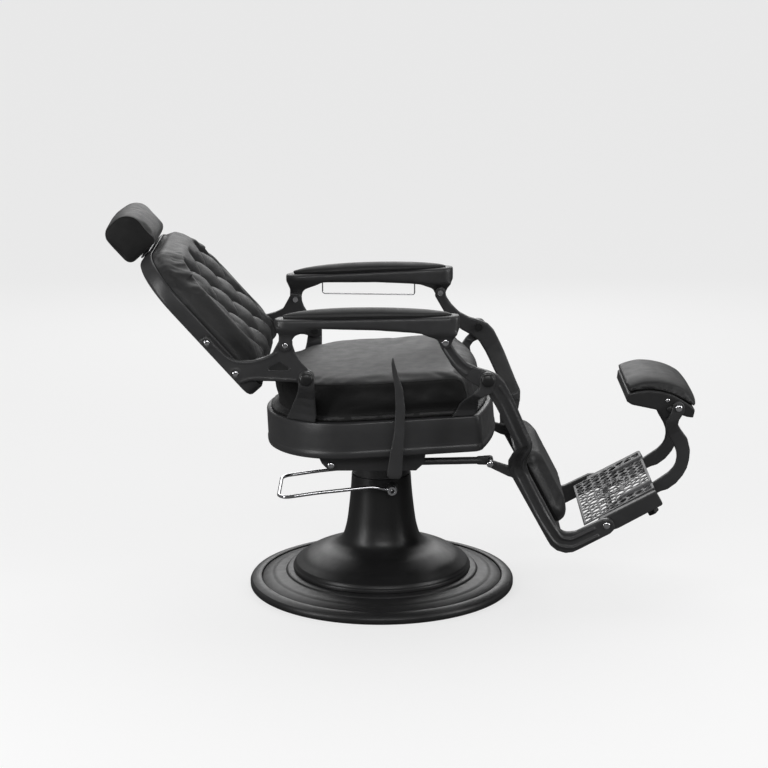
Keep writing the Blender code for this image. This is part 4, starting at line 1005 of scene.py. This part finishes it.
def make_armrest_pad(side, sign, body):
    """A long tapered pad: crowned top, rolled edge, sharp front end."""
    start, end = -0.226, 0.168
    rings = []
    count = 44
    for k in range(count + 1):
        s = k / count
        x = start + (end - start) * s
        width = max(0.0262 * pad_taper(s), 0.004)
        rise = 0.0195 * (math.sin(math.pi * min(1.0, max(0.015, s) ** 0.80))) ** 0.55 + 0.001
        y, base = armrest_mid(x), armrest_top(x) + 0.0006
        section = [(-width * 0.94, 0.0), (width * 0.94, 0.0), (width, 0.12 * rise + 0.0006),
                   (width * 0.985, 0.30 * rise)]
        section += [(width * 0.985 * math.cos(t), 0.30 * rise + 0.70 * rise * math.sin(t))
                    for t in (math.radians(18 * j) for j in range(1, 10))]
        section += [(-width * 0.985, 0.30 * rise), (-width, 0.12 * rise + 0.0006)]
        rings.append([(x, sign * (y + dy), base + dz) for dy, dz in section])
    piece = thing("armrest_cushion_" + side, loft(rings), "hide", body, "armrest_pad_" + side,
                  angle=70)
    subdivided(piece)
    edge = []
    for s in (k / 60 for k in range(61)):
        x = start + 0.004 + (end - start - 0.008) * s
        edge.append((x, max(0.0268 * pad_taper(s), 0.003)))
    loop = [(x, w) for x, w in edge] + [(x, -w) for x, w in reversed(edge)]
    path = [(x, sign * (armrest_mid(x) + w), armrest_top(x) + 0.0012) for x, w in loop]
    thing("armrest_welt_" + side, tube(path, 0.0014, 8, closed=True), "hide_side", body)


def make_towel_bar():
    rear, front = (-0.151, 0.2865, 0.7135), (0.086, 0.3015, 0.7065)
    corner = 0.006
    low_r, low_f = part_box("towel_bar")[0].z + 0.0083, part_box("towel_bar")[0].z + 0.0016
    path = [Vector(rear)] + [
        Vector((rear[0] + corner - corner * math.cos(t), rear[1],
                low_r + corner - corner * math.sin(t)))
        for t in (math.radians(15 * k) for k in range(7))]
    path += [Vector((front[0] - corner + corner * math.sin(t), front[1],
                     low_f + corner - corner * math.cos(t)))
             for t in (math.radians(15 * k) for k in range(7))]
    path.append(Vector(front))
    thing("towel_wire", tube(evenly(path, 0.01, closed=False), 0.0016, 12), "chrome",
          BODY_OF["towel_bar"], "towel_bar", angle=60)


# ---------------------------------------------------------------- leg rest


def make_leg_arms():
    """Castings with two raised ribs along the outer face."""
    upper = [(0.1520, 0.6740), (0.1640, 0.6550), (0.1840, 0.6290), (0.2070, 0.6110)]
    lower = [(0.2700, 0.5690), (0.2870, 0.5430), (0.2990, 0.5175), (0.3270, 0.4535)]
    shin = [(0.3360, 0.3320), (0.3800, 0.2440), (0.4130, 0.1890), (0.4300, 0.1690),
            (0.4500, 0.1640), (0.4680, 0.1660), (0.5200, 0.1920)]
    knee = [(0.3405, 0.4220, 0.2690), (0.3355, 0.4045, 0.2585), (0.3280, 0.3800, 0.2330),
            (0.3270, 0.3560, 0.2150), (0.3360, 0.3320, 0.2070)]
    for side, sign in SIDES:
        outward = Vector((0, sign, 0))
        top = [Vector((x, sign * 0.298, z)) for x, z in upper]
        bend = [Vector((x, sign * y, z)) for (x, z), y in
                zip(lower, (0.2962, 0.2935, 0.2905, 0.2765))]
        bend += [Vector((x, sign * y, z)) for x, z, y in knee]
        bend += [Vector((x, sign * 0.2070, z)) for x, z in shin[1:]]
        extras = [ribs(curve_through(top, 5), 0.0092, 0.0034, 0.0006, outward),
                  ribs(curve_through(bend, 4), 0.0104, 0.0036, 0.0006, outward)]
        extras.append(boss(PIVOT_D, 0, 0.0195, 0.296, 0.2993, sign))
        bm = joined(node_mesh("leg_arm_" + side), *extras)
        cast("leg_cast_" + side, bm, "cast", "legrest", "leg_arm_" + side, voxel=0.0019,
             passes=6)


def make_calf_rest():
    half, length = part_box("calf_plate")[1].y, 0.262
    rings = []
    for h, inset in ((0.0000, 0.0012), (0.0008, 0.0002), (0.0020, 0.0), (0.0040, 0.0),
                     (0.0047, 0.0004), (0.0050, 0.0014)):
        outline = rounded_rectangle(half, 0.0, length, 0.030, 0.060, inset, 14)
        rings.append([CALF.point(a, y, h) for y, a in outline])
    thing("calf_pan", loft(rings), "paint", "legrest", "calf_plate")
    for number, y in enumerate((-0.020, 0.0, 0.020)):
        profile = [(0, 0), (0.0028, 0), (0.0036, -0.0006), (0.0036, 0.0006), (0.0026, 0.0012),
                   (0, 0.0004)]
        thing(f"calf_rivet_{number}", turned(profile, CALF.point(0.250, y, 0.0052),
                                              CALF.vector(0, 1), 20), "plastic", "legrest")
    rings = []
    for h, inset in ((0.0056, 0.006), (0.0090, 0.003), (0.0160, 0.0015), (0.0260, 0.002),
                     (0.0340, 0.006), (0.0400, 0.014), (0.0435, 0.026), (0.0450, 0.045)):
        outline = rounded_rectangle(0.172, 0.018, 0.228, 0.035, 0.045, inset, 10)
        rings.append([CALF.point(a, y, h) for y, a in outline])
    piece = soft_piece("calf_cushion", loft(rings), "legrest", "calf_pad", 0.0050)
    inflate(piece, 0.006, lambda p: CALF.local(p)[2] < 0.009, pressure=3.5)
    seam = [CALF.point(a, y, 0.0150) for y, a in
            evenly(rounded_rectangle(0.174, 0.016, 0.230, 0.037, 0.047, 0.0, 10), 0.008)]
    piping("calf_piping", piece, seam, 0.0018, "legrest", closed=True)


# ---------------------------------------------------------------- lock


def make_lock():
    cast("lock_tube", node_mesh("lock_cylinder"), "cast", "lock_cylinder_body", "lock_cylinder",
         voxel=0.0013, passes=4)
    cast("lock_stem", node_mesh("lock_rod"), "steel", "lock_rod_body", "lock_rod",
         voxel=0.0012, passes=3)


# ---------------------------------------------------------------- foot tray and foot pad
TRAY_HALF, TRAY_TOP, TRAY_REAR, TRAY_FRONT = 0.1675, 0.0163, -0.050, 0.143
BAR_Y = 0.112


def flat_rib(points, width, low, high):
    """A rib lying in the tray's plane along (a, y) points."""
    rings = []
    points = [Vector(p) for p in points]
    for k, here in enumerate(points):
        run = (points[min(k + 1, len(points) - 1)] - points[max(k - 1, 0)]).normalized()
        across = Vector((-run.y, run.x)) * width / 2
        one, two = here - across, here + across
        rings.append([TRAY.point(one.x, one.y, low), TRAY.point(two.x, two.y, low),
                      TRAY.point(two.x, two.y, high), TRAY.point(one.x, one.y, high)])
    return loft(rings)


def flat_ring(a, y, radius, width, low, high, steps):
    """A ring lying in the tray's plane."""
    rings = []
    for k in range(steps):
        t = 2 * math.pi * k / steps
        row = []
        for r, h in ((radius - width / 2, low), (radius + width / 2, low),
                     (radius + width / 2, high), (radius - width / 2, high)):
            row.append(TRAY.point(a + r * math.cos(t), y + r * math.sin(t), h))
        rings.append(row)
    return loft(rings, closed=True)


def make_tray():
    """Cast lattice of crossing rings and bars, with a plain rosette, a frame and sleeves."""
    base = TRAY_TOP - 0.0032
    parts = []
    edge = 0.007
    frame_outline = [(TRAY_REAR + edge / 2, -TRAY_HALF + edge / 2),
                     (TRAY_FRONT - edge / 2, -TRAY_HALF + edge / 2),
                     (TRAY_FRONT - edge / 2, TRAY_HALF - edge / 2),
                     (TRAY_REAR + edge / 2, TRAY_HALF - edge / 2)]
    for k in range(4):
        a, b = Vector(frame_outline[k]), Vector(frame_outline[(k + 1) % 4])
        run = (b - a).normalized() * edge / 2
        parts.append(flat_rib([a - run, b + run], edge, base, TRAY_TOP + 0.0004))
    centre = ((TRAY_REAR + TRAY_FRONT) / 2, 0.0)
    pitch = 0.0236
    rows = 8
    for row in range(rows):
        a = TRAY_REAR + 0.014 + row * pitch
        for column in range(-7, 8):
            y = column * pitch + (pitch / 2 if row % 2 else 0)
            inside = abs(y) < TRAY_HALF - 0.012 and a < TRAY_FRONT - 0.010
            if inside and math.hypot(a - centre[0], y) > 0.050:
                parts.append(flat_ring(a, y, 0.0128, 0.0030, base, TRAY_TOP, 24))
    for sign in (-1, 1):
        for k in range(-9, 10):
            y0 = k * pitch * 1.5
            rib = []
            for j in range(25):
                a = TRAY_REAR + 0.003 + (TRAY_FRONT - TRAY_REAR - 0.006) * j / 24
                y = y0 + sign * (a - centre[0])
                if abs(y) < TRAY_HALF - 0.004 and math.hypot(a - centre[0], y) > 0.046:
                    rib.append((a, y))
                elif len(rib) > 2:
                    parts.append(flat_rib(rib, 0.0030, base + 0.0004, TRAY_TOP - 0.0004))
                    rib = []
                else:
                    rib = []
            if len(rib) > 2:
                parts.append(flat_rib(rib, 0.0030, base + 0.0004, TRAY_TOP - 0.0004))
    for radius, width in ((0.049, 0.0045), (0.033, 0.0030), (0.012, 0.0040)):
        parts.append(flat_ring(centre[0], 0, radius, width, base, TRAY_TOP + 0.0005, 56))
    for k in range(12):
        t = 2 * math.pi * k / 12
        spoke = [(centre[0] + r * math.cos(t), r * math.sin(t)) for r in (0.011, 0.030, 0.049)]
        parts.append(flat_rib(spoke, 0.0030, base, TRAY_TOP))
        parts.append(flat_ring(centre[0] + 0.041 * math.cos(t + 0.26),
                               0.041 * math.sin(t + 0.26), 0.0062, 0.0024, base, TRAY_TOP, 18))
    for sign in (-1, 1):
        ridge = []
        for a in (0.052, 0.060, 0.072, 0.090, 0.143):
            scale = 0.25 if a < 0.056 else min(1.0, 0.55 + (a - 0.056) * 22)
            ridge.append([TRAY.point(a, sign * BAR_Y + 0.0125 * math.cos(t) * scale,
                                     TRAY_TOP - 0.0018 + 0.0078 * math.sin(t) * scale)
                          for t in (math.radians(20 * k) for k in range(10))])
        parts.append(loft(ridge))
        outer, inner = 0.0100, 0.0066
        wall = [(-outer, -0.0200), (outer, -0.0200), (outer, base + 0.001), (inner, base + 0.001),
                (inner, -0.0166), (-inner, -0.0166), (-inner, base + 0.001),
                (-outer, base + 0.001)]
        parts.append(loft([[TRAY.point(a, sign * BAR_Y + dy, h) for dy, h in wall]
                           for a in (0.085, 0.135)]))
    cast("tray_lattice", joined(*parts), "grating", "foot_tray_body", "foot_tray",
         voxel=0.0014, passes=3)
    for side, _ in SIDES:
        cast("tray_block_" + side, node_mesh("tray_rail_" + side), "cast", "foot_tray_body",
             "tray_rail_" + side, voxel=0.0018, passes=7)


def make_extension():
    cast("foot_bars", node_mesh("extension_bars"), "cast", "extension", "extension_bars",
         voxel=0.0019, passes=9)


SEAM = ((0.5965, 0.5150), (0.6210, 0.5205), (0.6470, 0.5225), (0.6760, 0.5195),
        (0.7040, 0.5115), (0.7270, 0.4990), (0.7480, 0.4850), (0.7590, 0.4740))


PAN_SCREW, TILT_KNOB = (0.6926, 0.4980), (0.6985, 0.4782)


def pad_section(rise, trim):
    """The foot pad's outline on the pan's curved edge, crowned by rise."""
    line = [Vector(p) for p in curve_through(SEAM, 4)]
    last = len(line) - 1
    lower, upper = [], []
    for k, here in enumerate(line):
        run = (line[min(k + 1, last)] - line[max(k - 1, 0)]).normalized()
        normal = Vector((-run.y, run.x))
        s = k / last
        start = here + run * trim * (1 - 2 * s)
        ends = min(1.0, 0.72 + 1.1 * s) * min(1.0, 0.30 + 2.4 * (1 - s))
        lower.append(start + normal * 0.0006)
        upper.append(start + normal * (0.0006 + rise * ends))
    return [(p.x, p.y) for p in lower + upper[::-1]]


def make_foot_pad():
    bm = node_mesh("foot_pan")
    cast("foot_rest_pan", bm, "pan", "foot_pad", "foot_pan", voxel=0.0022, passes=6)
    rings = []
    half = 0.127
    count = 14
    for k in range(-count, count + 1):
        s = k / count
        edge = max(0.0, 1 - abs(s) ** 5)
        rings.append([(x, s * half, z) for x, z in
                      pad_section(0.0255 * edge ** 0.55 + 0.0015, 0.004 * (1 - edge))])
    piece = soft_piece("foot_rest_pad", loft(rings), "foot_pad", "foot_cushion", 0.0045)
    inflate(piece, 0.003, lambda p: False, pressure=1.5)
    seam = [(x, -half - 0.0004, z + 0.0012) for x, z in SEAM]
    loop = [Vector(p) for p in curve_through(seam, 5)]
    back_edge = [Vector((p.x, -p.y, p.z)) for p in reversed(loop)]
    path = evenly([tuple(p) for p in loop + back_edge], 0.008)
    piping("foot_pad_seam", piece, path, 0.0016, "foot_pad", closed=True)

    for side, sign in SIDES:
        profile = [(0, 0.1280), (0.0055, 0.1280)] + dome(0.0055, 0.1295, 0.0026)
        thing("pan_screw_" + side, turned_y(profile, PAN_SCREW, sign, 28), "chrome", "foot_pad")
    profile = [(0, 0.1270), (0.0060, 0.1270), (0.0075, 0.1310), (0.0085, 0.1330),
               (0.0085, 0.1385)] + dome(0.0080, 0.1390, 0.0030)
    thing("tilt_knob", turned_y(profile, TILT_KNOB, -1, 32), "plastic", "foot_pad")


def make_knob():
    """Lobed clamp knob on its stem."""
    axis = -TRAY.vector(0, 1)
    side = TRAY.vector(1, 0)
    across = Vector((0, 1, 0))
    top = TRAY.point(0.110, -BAR_Y, -0.0203)
    stem_r, stem_l = 0.0035, 0.0250
    stem = turned([(0, 0), (stem_r, 0), (stem_r, stem_l), (0, stem_l)], top, axis, 20)
    rings = []
    for r, d in ((0.0060, 0.0240), (0.0085, 0.0250), (0.0125, 0.0275), (0.0145, 0.0300),
                 (0.0148, 0.0350), (0.0135, 0.0370), (0.0090, 0.0382), (0.0030, 0.0385)):
        lobe = 0.10 if r > 0.010 else 0.0
        rings.append([top + axis * d + r * (1 - lobe + lobe * math.cos(5 * t))
                      * (side * math.cos(t) + across * math.sin(t))
                      for t in (2 * math.pi * k / 60 for k in range(60))])
    thing("star_knob", joined(stem, loft(rings)), "plastic", "knob", "clamp_knob", angle=50)


# ---------------------------------------------------------------- stage
PALE = 0.868


def hang(name, lamp, place):
    """Put a lamp at a place, turned to the chair."""
    holder = bpy.data.objects.new(name, lamp)
    holder.location = place
    aim = Vector((0.0, 0.0, 0.45)) - Vector(place)
    holder.rotation_euler = aim.to_track_quat("-Z", "Y").to_euler()
    bpy.context.collection.objects.link(holder)


def floor_material():
    """Pale to the eye, darker to bounced light so that the chair stays black."""
    shade = bpy.data.materials.new("floor")
    shade.use_nodes = True
    tree = shade.node_tree
    tree.nodes.remove(tree.nodes["Principled BSDF"])
    seen = tree.nodes.new("ShaderNodeBsdfDiffuse")
    seen.inputs["Color"].default_value = (FLOOR_SEEN, FLOOR_SEEN, FLOOR_SEEN, 1)
    bounced = tree.nodes.new("ShaderNodeBsdfDiffuse")
    bounced.inputs["Color"].default_value = (FLOOR_BOUNCE, FLOOR_BOUNCE, FLOOR_BOUNCE, 1)
    path = tree.nodes.new("ShaderNodeLightPath")
    glow = tree.nodes.new("ShaderNodeEmission")
    glow.inputs["Strength"].default_value = FLOOR_GLOW
    lit = tree.nodes.new("ShaderNodeAddShader")
    mix = tree.nodes.new("ShaderNodeMixShader")
    tree.links.new(seen.outputs[0], lit.inputs[0])
    tree.links.new(glow.outputs[0], lit.inputs[1])
    tree.links.new(path.outputs["Is Camera Ray"], mix.inputs[0])
    tree.links.new(bounced.outputs[0], mix.inputs[1])
    tree.links.new(lit.outputs[0], mix.inputs[2])
    tree.links.new(mix.outputs[0], tree.nodes["Material Output"].inputs["Surface"])
    return shade


def make_world():
    """A pale wall behind the chair, brighter at the back than at the front."""
    world = bpy.data.worlds.new("studio")
    bpy.context.scene.world = world
    world.use_nodes = True
    tree = world.node_tree
    background = tree.nodes["Background"]
    coords = tree.nodes.new("ShaderNodeTexCoord")
    split = tree.nodes.new("ShaderNodeSeparateXYZ")
    spread = tree.nodes.new("ShaderNodeMapRange")
    for key, value in (("From Min", -0.6), ("From Max", 0.9), ("To Min", WORLD_FRONT),
                       ("To Max", WORLD_BACK)):
        spread.inputs[key].default_value = value
    path = tree.nodes.new("ShaderNodeLightPath")
    mix = tree.nodes.new("ShaderNodeMix")
    mix.inputs["B"].default_value = PALE
    tree.links.new(coords.outputs["Generated"], split.inputs["Vector"])
    tree.links.new(split.outputs["Y"], spread.inputs["Value"])
    tree.links.new(path.outputs["Is Camera Ray"], mix.inputs["Factor"])
    tree.links.new(spread.outputs["Result"], mix.inputs["A"])
    background.inputs["Color"].default_value = (1, 1, 1, 1)
    tree.links.new(mix.outputs["Result"], background.inputs["Strength"])


def make_stage():
    """A wide pale floor, soft lights and the camera."""
    bm = bmesh.new()
    bmesh.ops.create_circle(bm, cap_ends=True, segments=96, radius=60)
    mesh = bpy.data.meshes.new("floor")
    bm.to_mesh(mesh)
    bm.free()
    floor = bpy.data.objects.new("floor", mesh)
    floor.location.z = -0.0005
    bpy.context.collection.objects.link(floor)
    mesh.materials.append(floor_material())
    make_world()

    for name, place, size, power in LIGHTS:
        lamp = bpy.data.lights.new(name, "AREA")
        lamp.shape = "RECTANGLE"
        lamp.size, lamp.size_y = size
        lamp.energy = power
        hang(name, lamp, place)
    for name, place, angle, power in SUNS:
        lamp = bpy.data.lights.new(name, "SUN")
        lamp.angle = math.radians(angle)
        lamp.energy = power
        hang(name, lamp, place)

    data = bpy.data.cameras.new("camera")
    data.lens = 102.97
    data.sensor_width = 36
    camera = bpy.data.objects.new("camera", data)
    camera.location = (0.0410, -5.2694, 1.7730)
    pitch, yaw, roll = 0.2352, -0.0063, 0.0045
    forward = Vector((math.sin(yaw) * math.cos(pitch), math.cos(yaw) * math.cos(pitch),
                      -math.sin(pitch)))
    turn = forward.to_track_quat("-Z", "Y")
    camera.rotation_euler = turn.to_euler()
    camera.rotation_euler.rotate_axis("Z", -roll)
    bpy.context.collection.objects.link(camera)
    bpy.context.scene.camera = camera
    bpy.context.scene.view_settings.view_transform = "Standard"


FLOOR_SEEN, FLOOR_GLOW, FLOOR_BOUNCE = 0.30, 0.67, 0.16
WORLD_FRONT, WORLD_BACK = 0.09, 0.22
SUNS = (("sky", (0.0, 1.6, 2.4), 70, 1.3),)
LIGHTS = (("left", (-2.6, -1.6, 1.3), (0.5, 2.2), 34),
          ("right", (3.0, -1.2, 1.5), (0.7, 2.2), 32),
          ("front", (0.3, -3.6, 2.2), (2.6, 0.7), 34),
          ("far side", (0.0, 3.6, 1.6), (2.4, 1.0), 16))


# ---------------------------------------------------------------- build
def main():
    make_materials()
    make_base()
    make_lift()
    make_pump_handle()
    make_hub()
    make_seat_box()
    make_seat_cushion()
    make_brackets()
    make_lever()
    make_bolts()
    make_back_shell()
    make_back_cushion()
    make_back_plates()
    make_headrest()
    make_armrests()
    make_towel_bar()
    make_leg_arms()
    make_calf_rest()
    make_lock()
    make_tray()
    make_extension()
    make_foot_pad()
    make_knob()
    make_stage()


main()
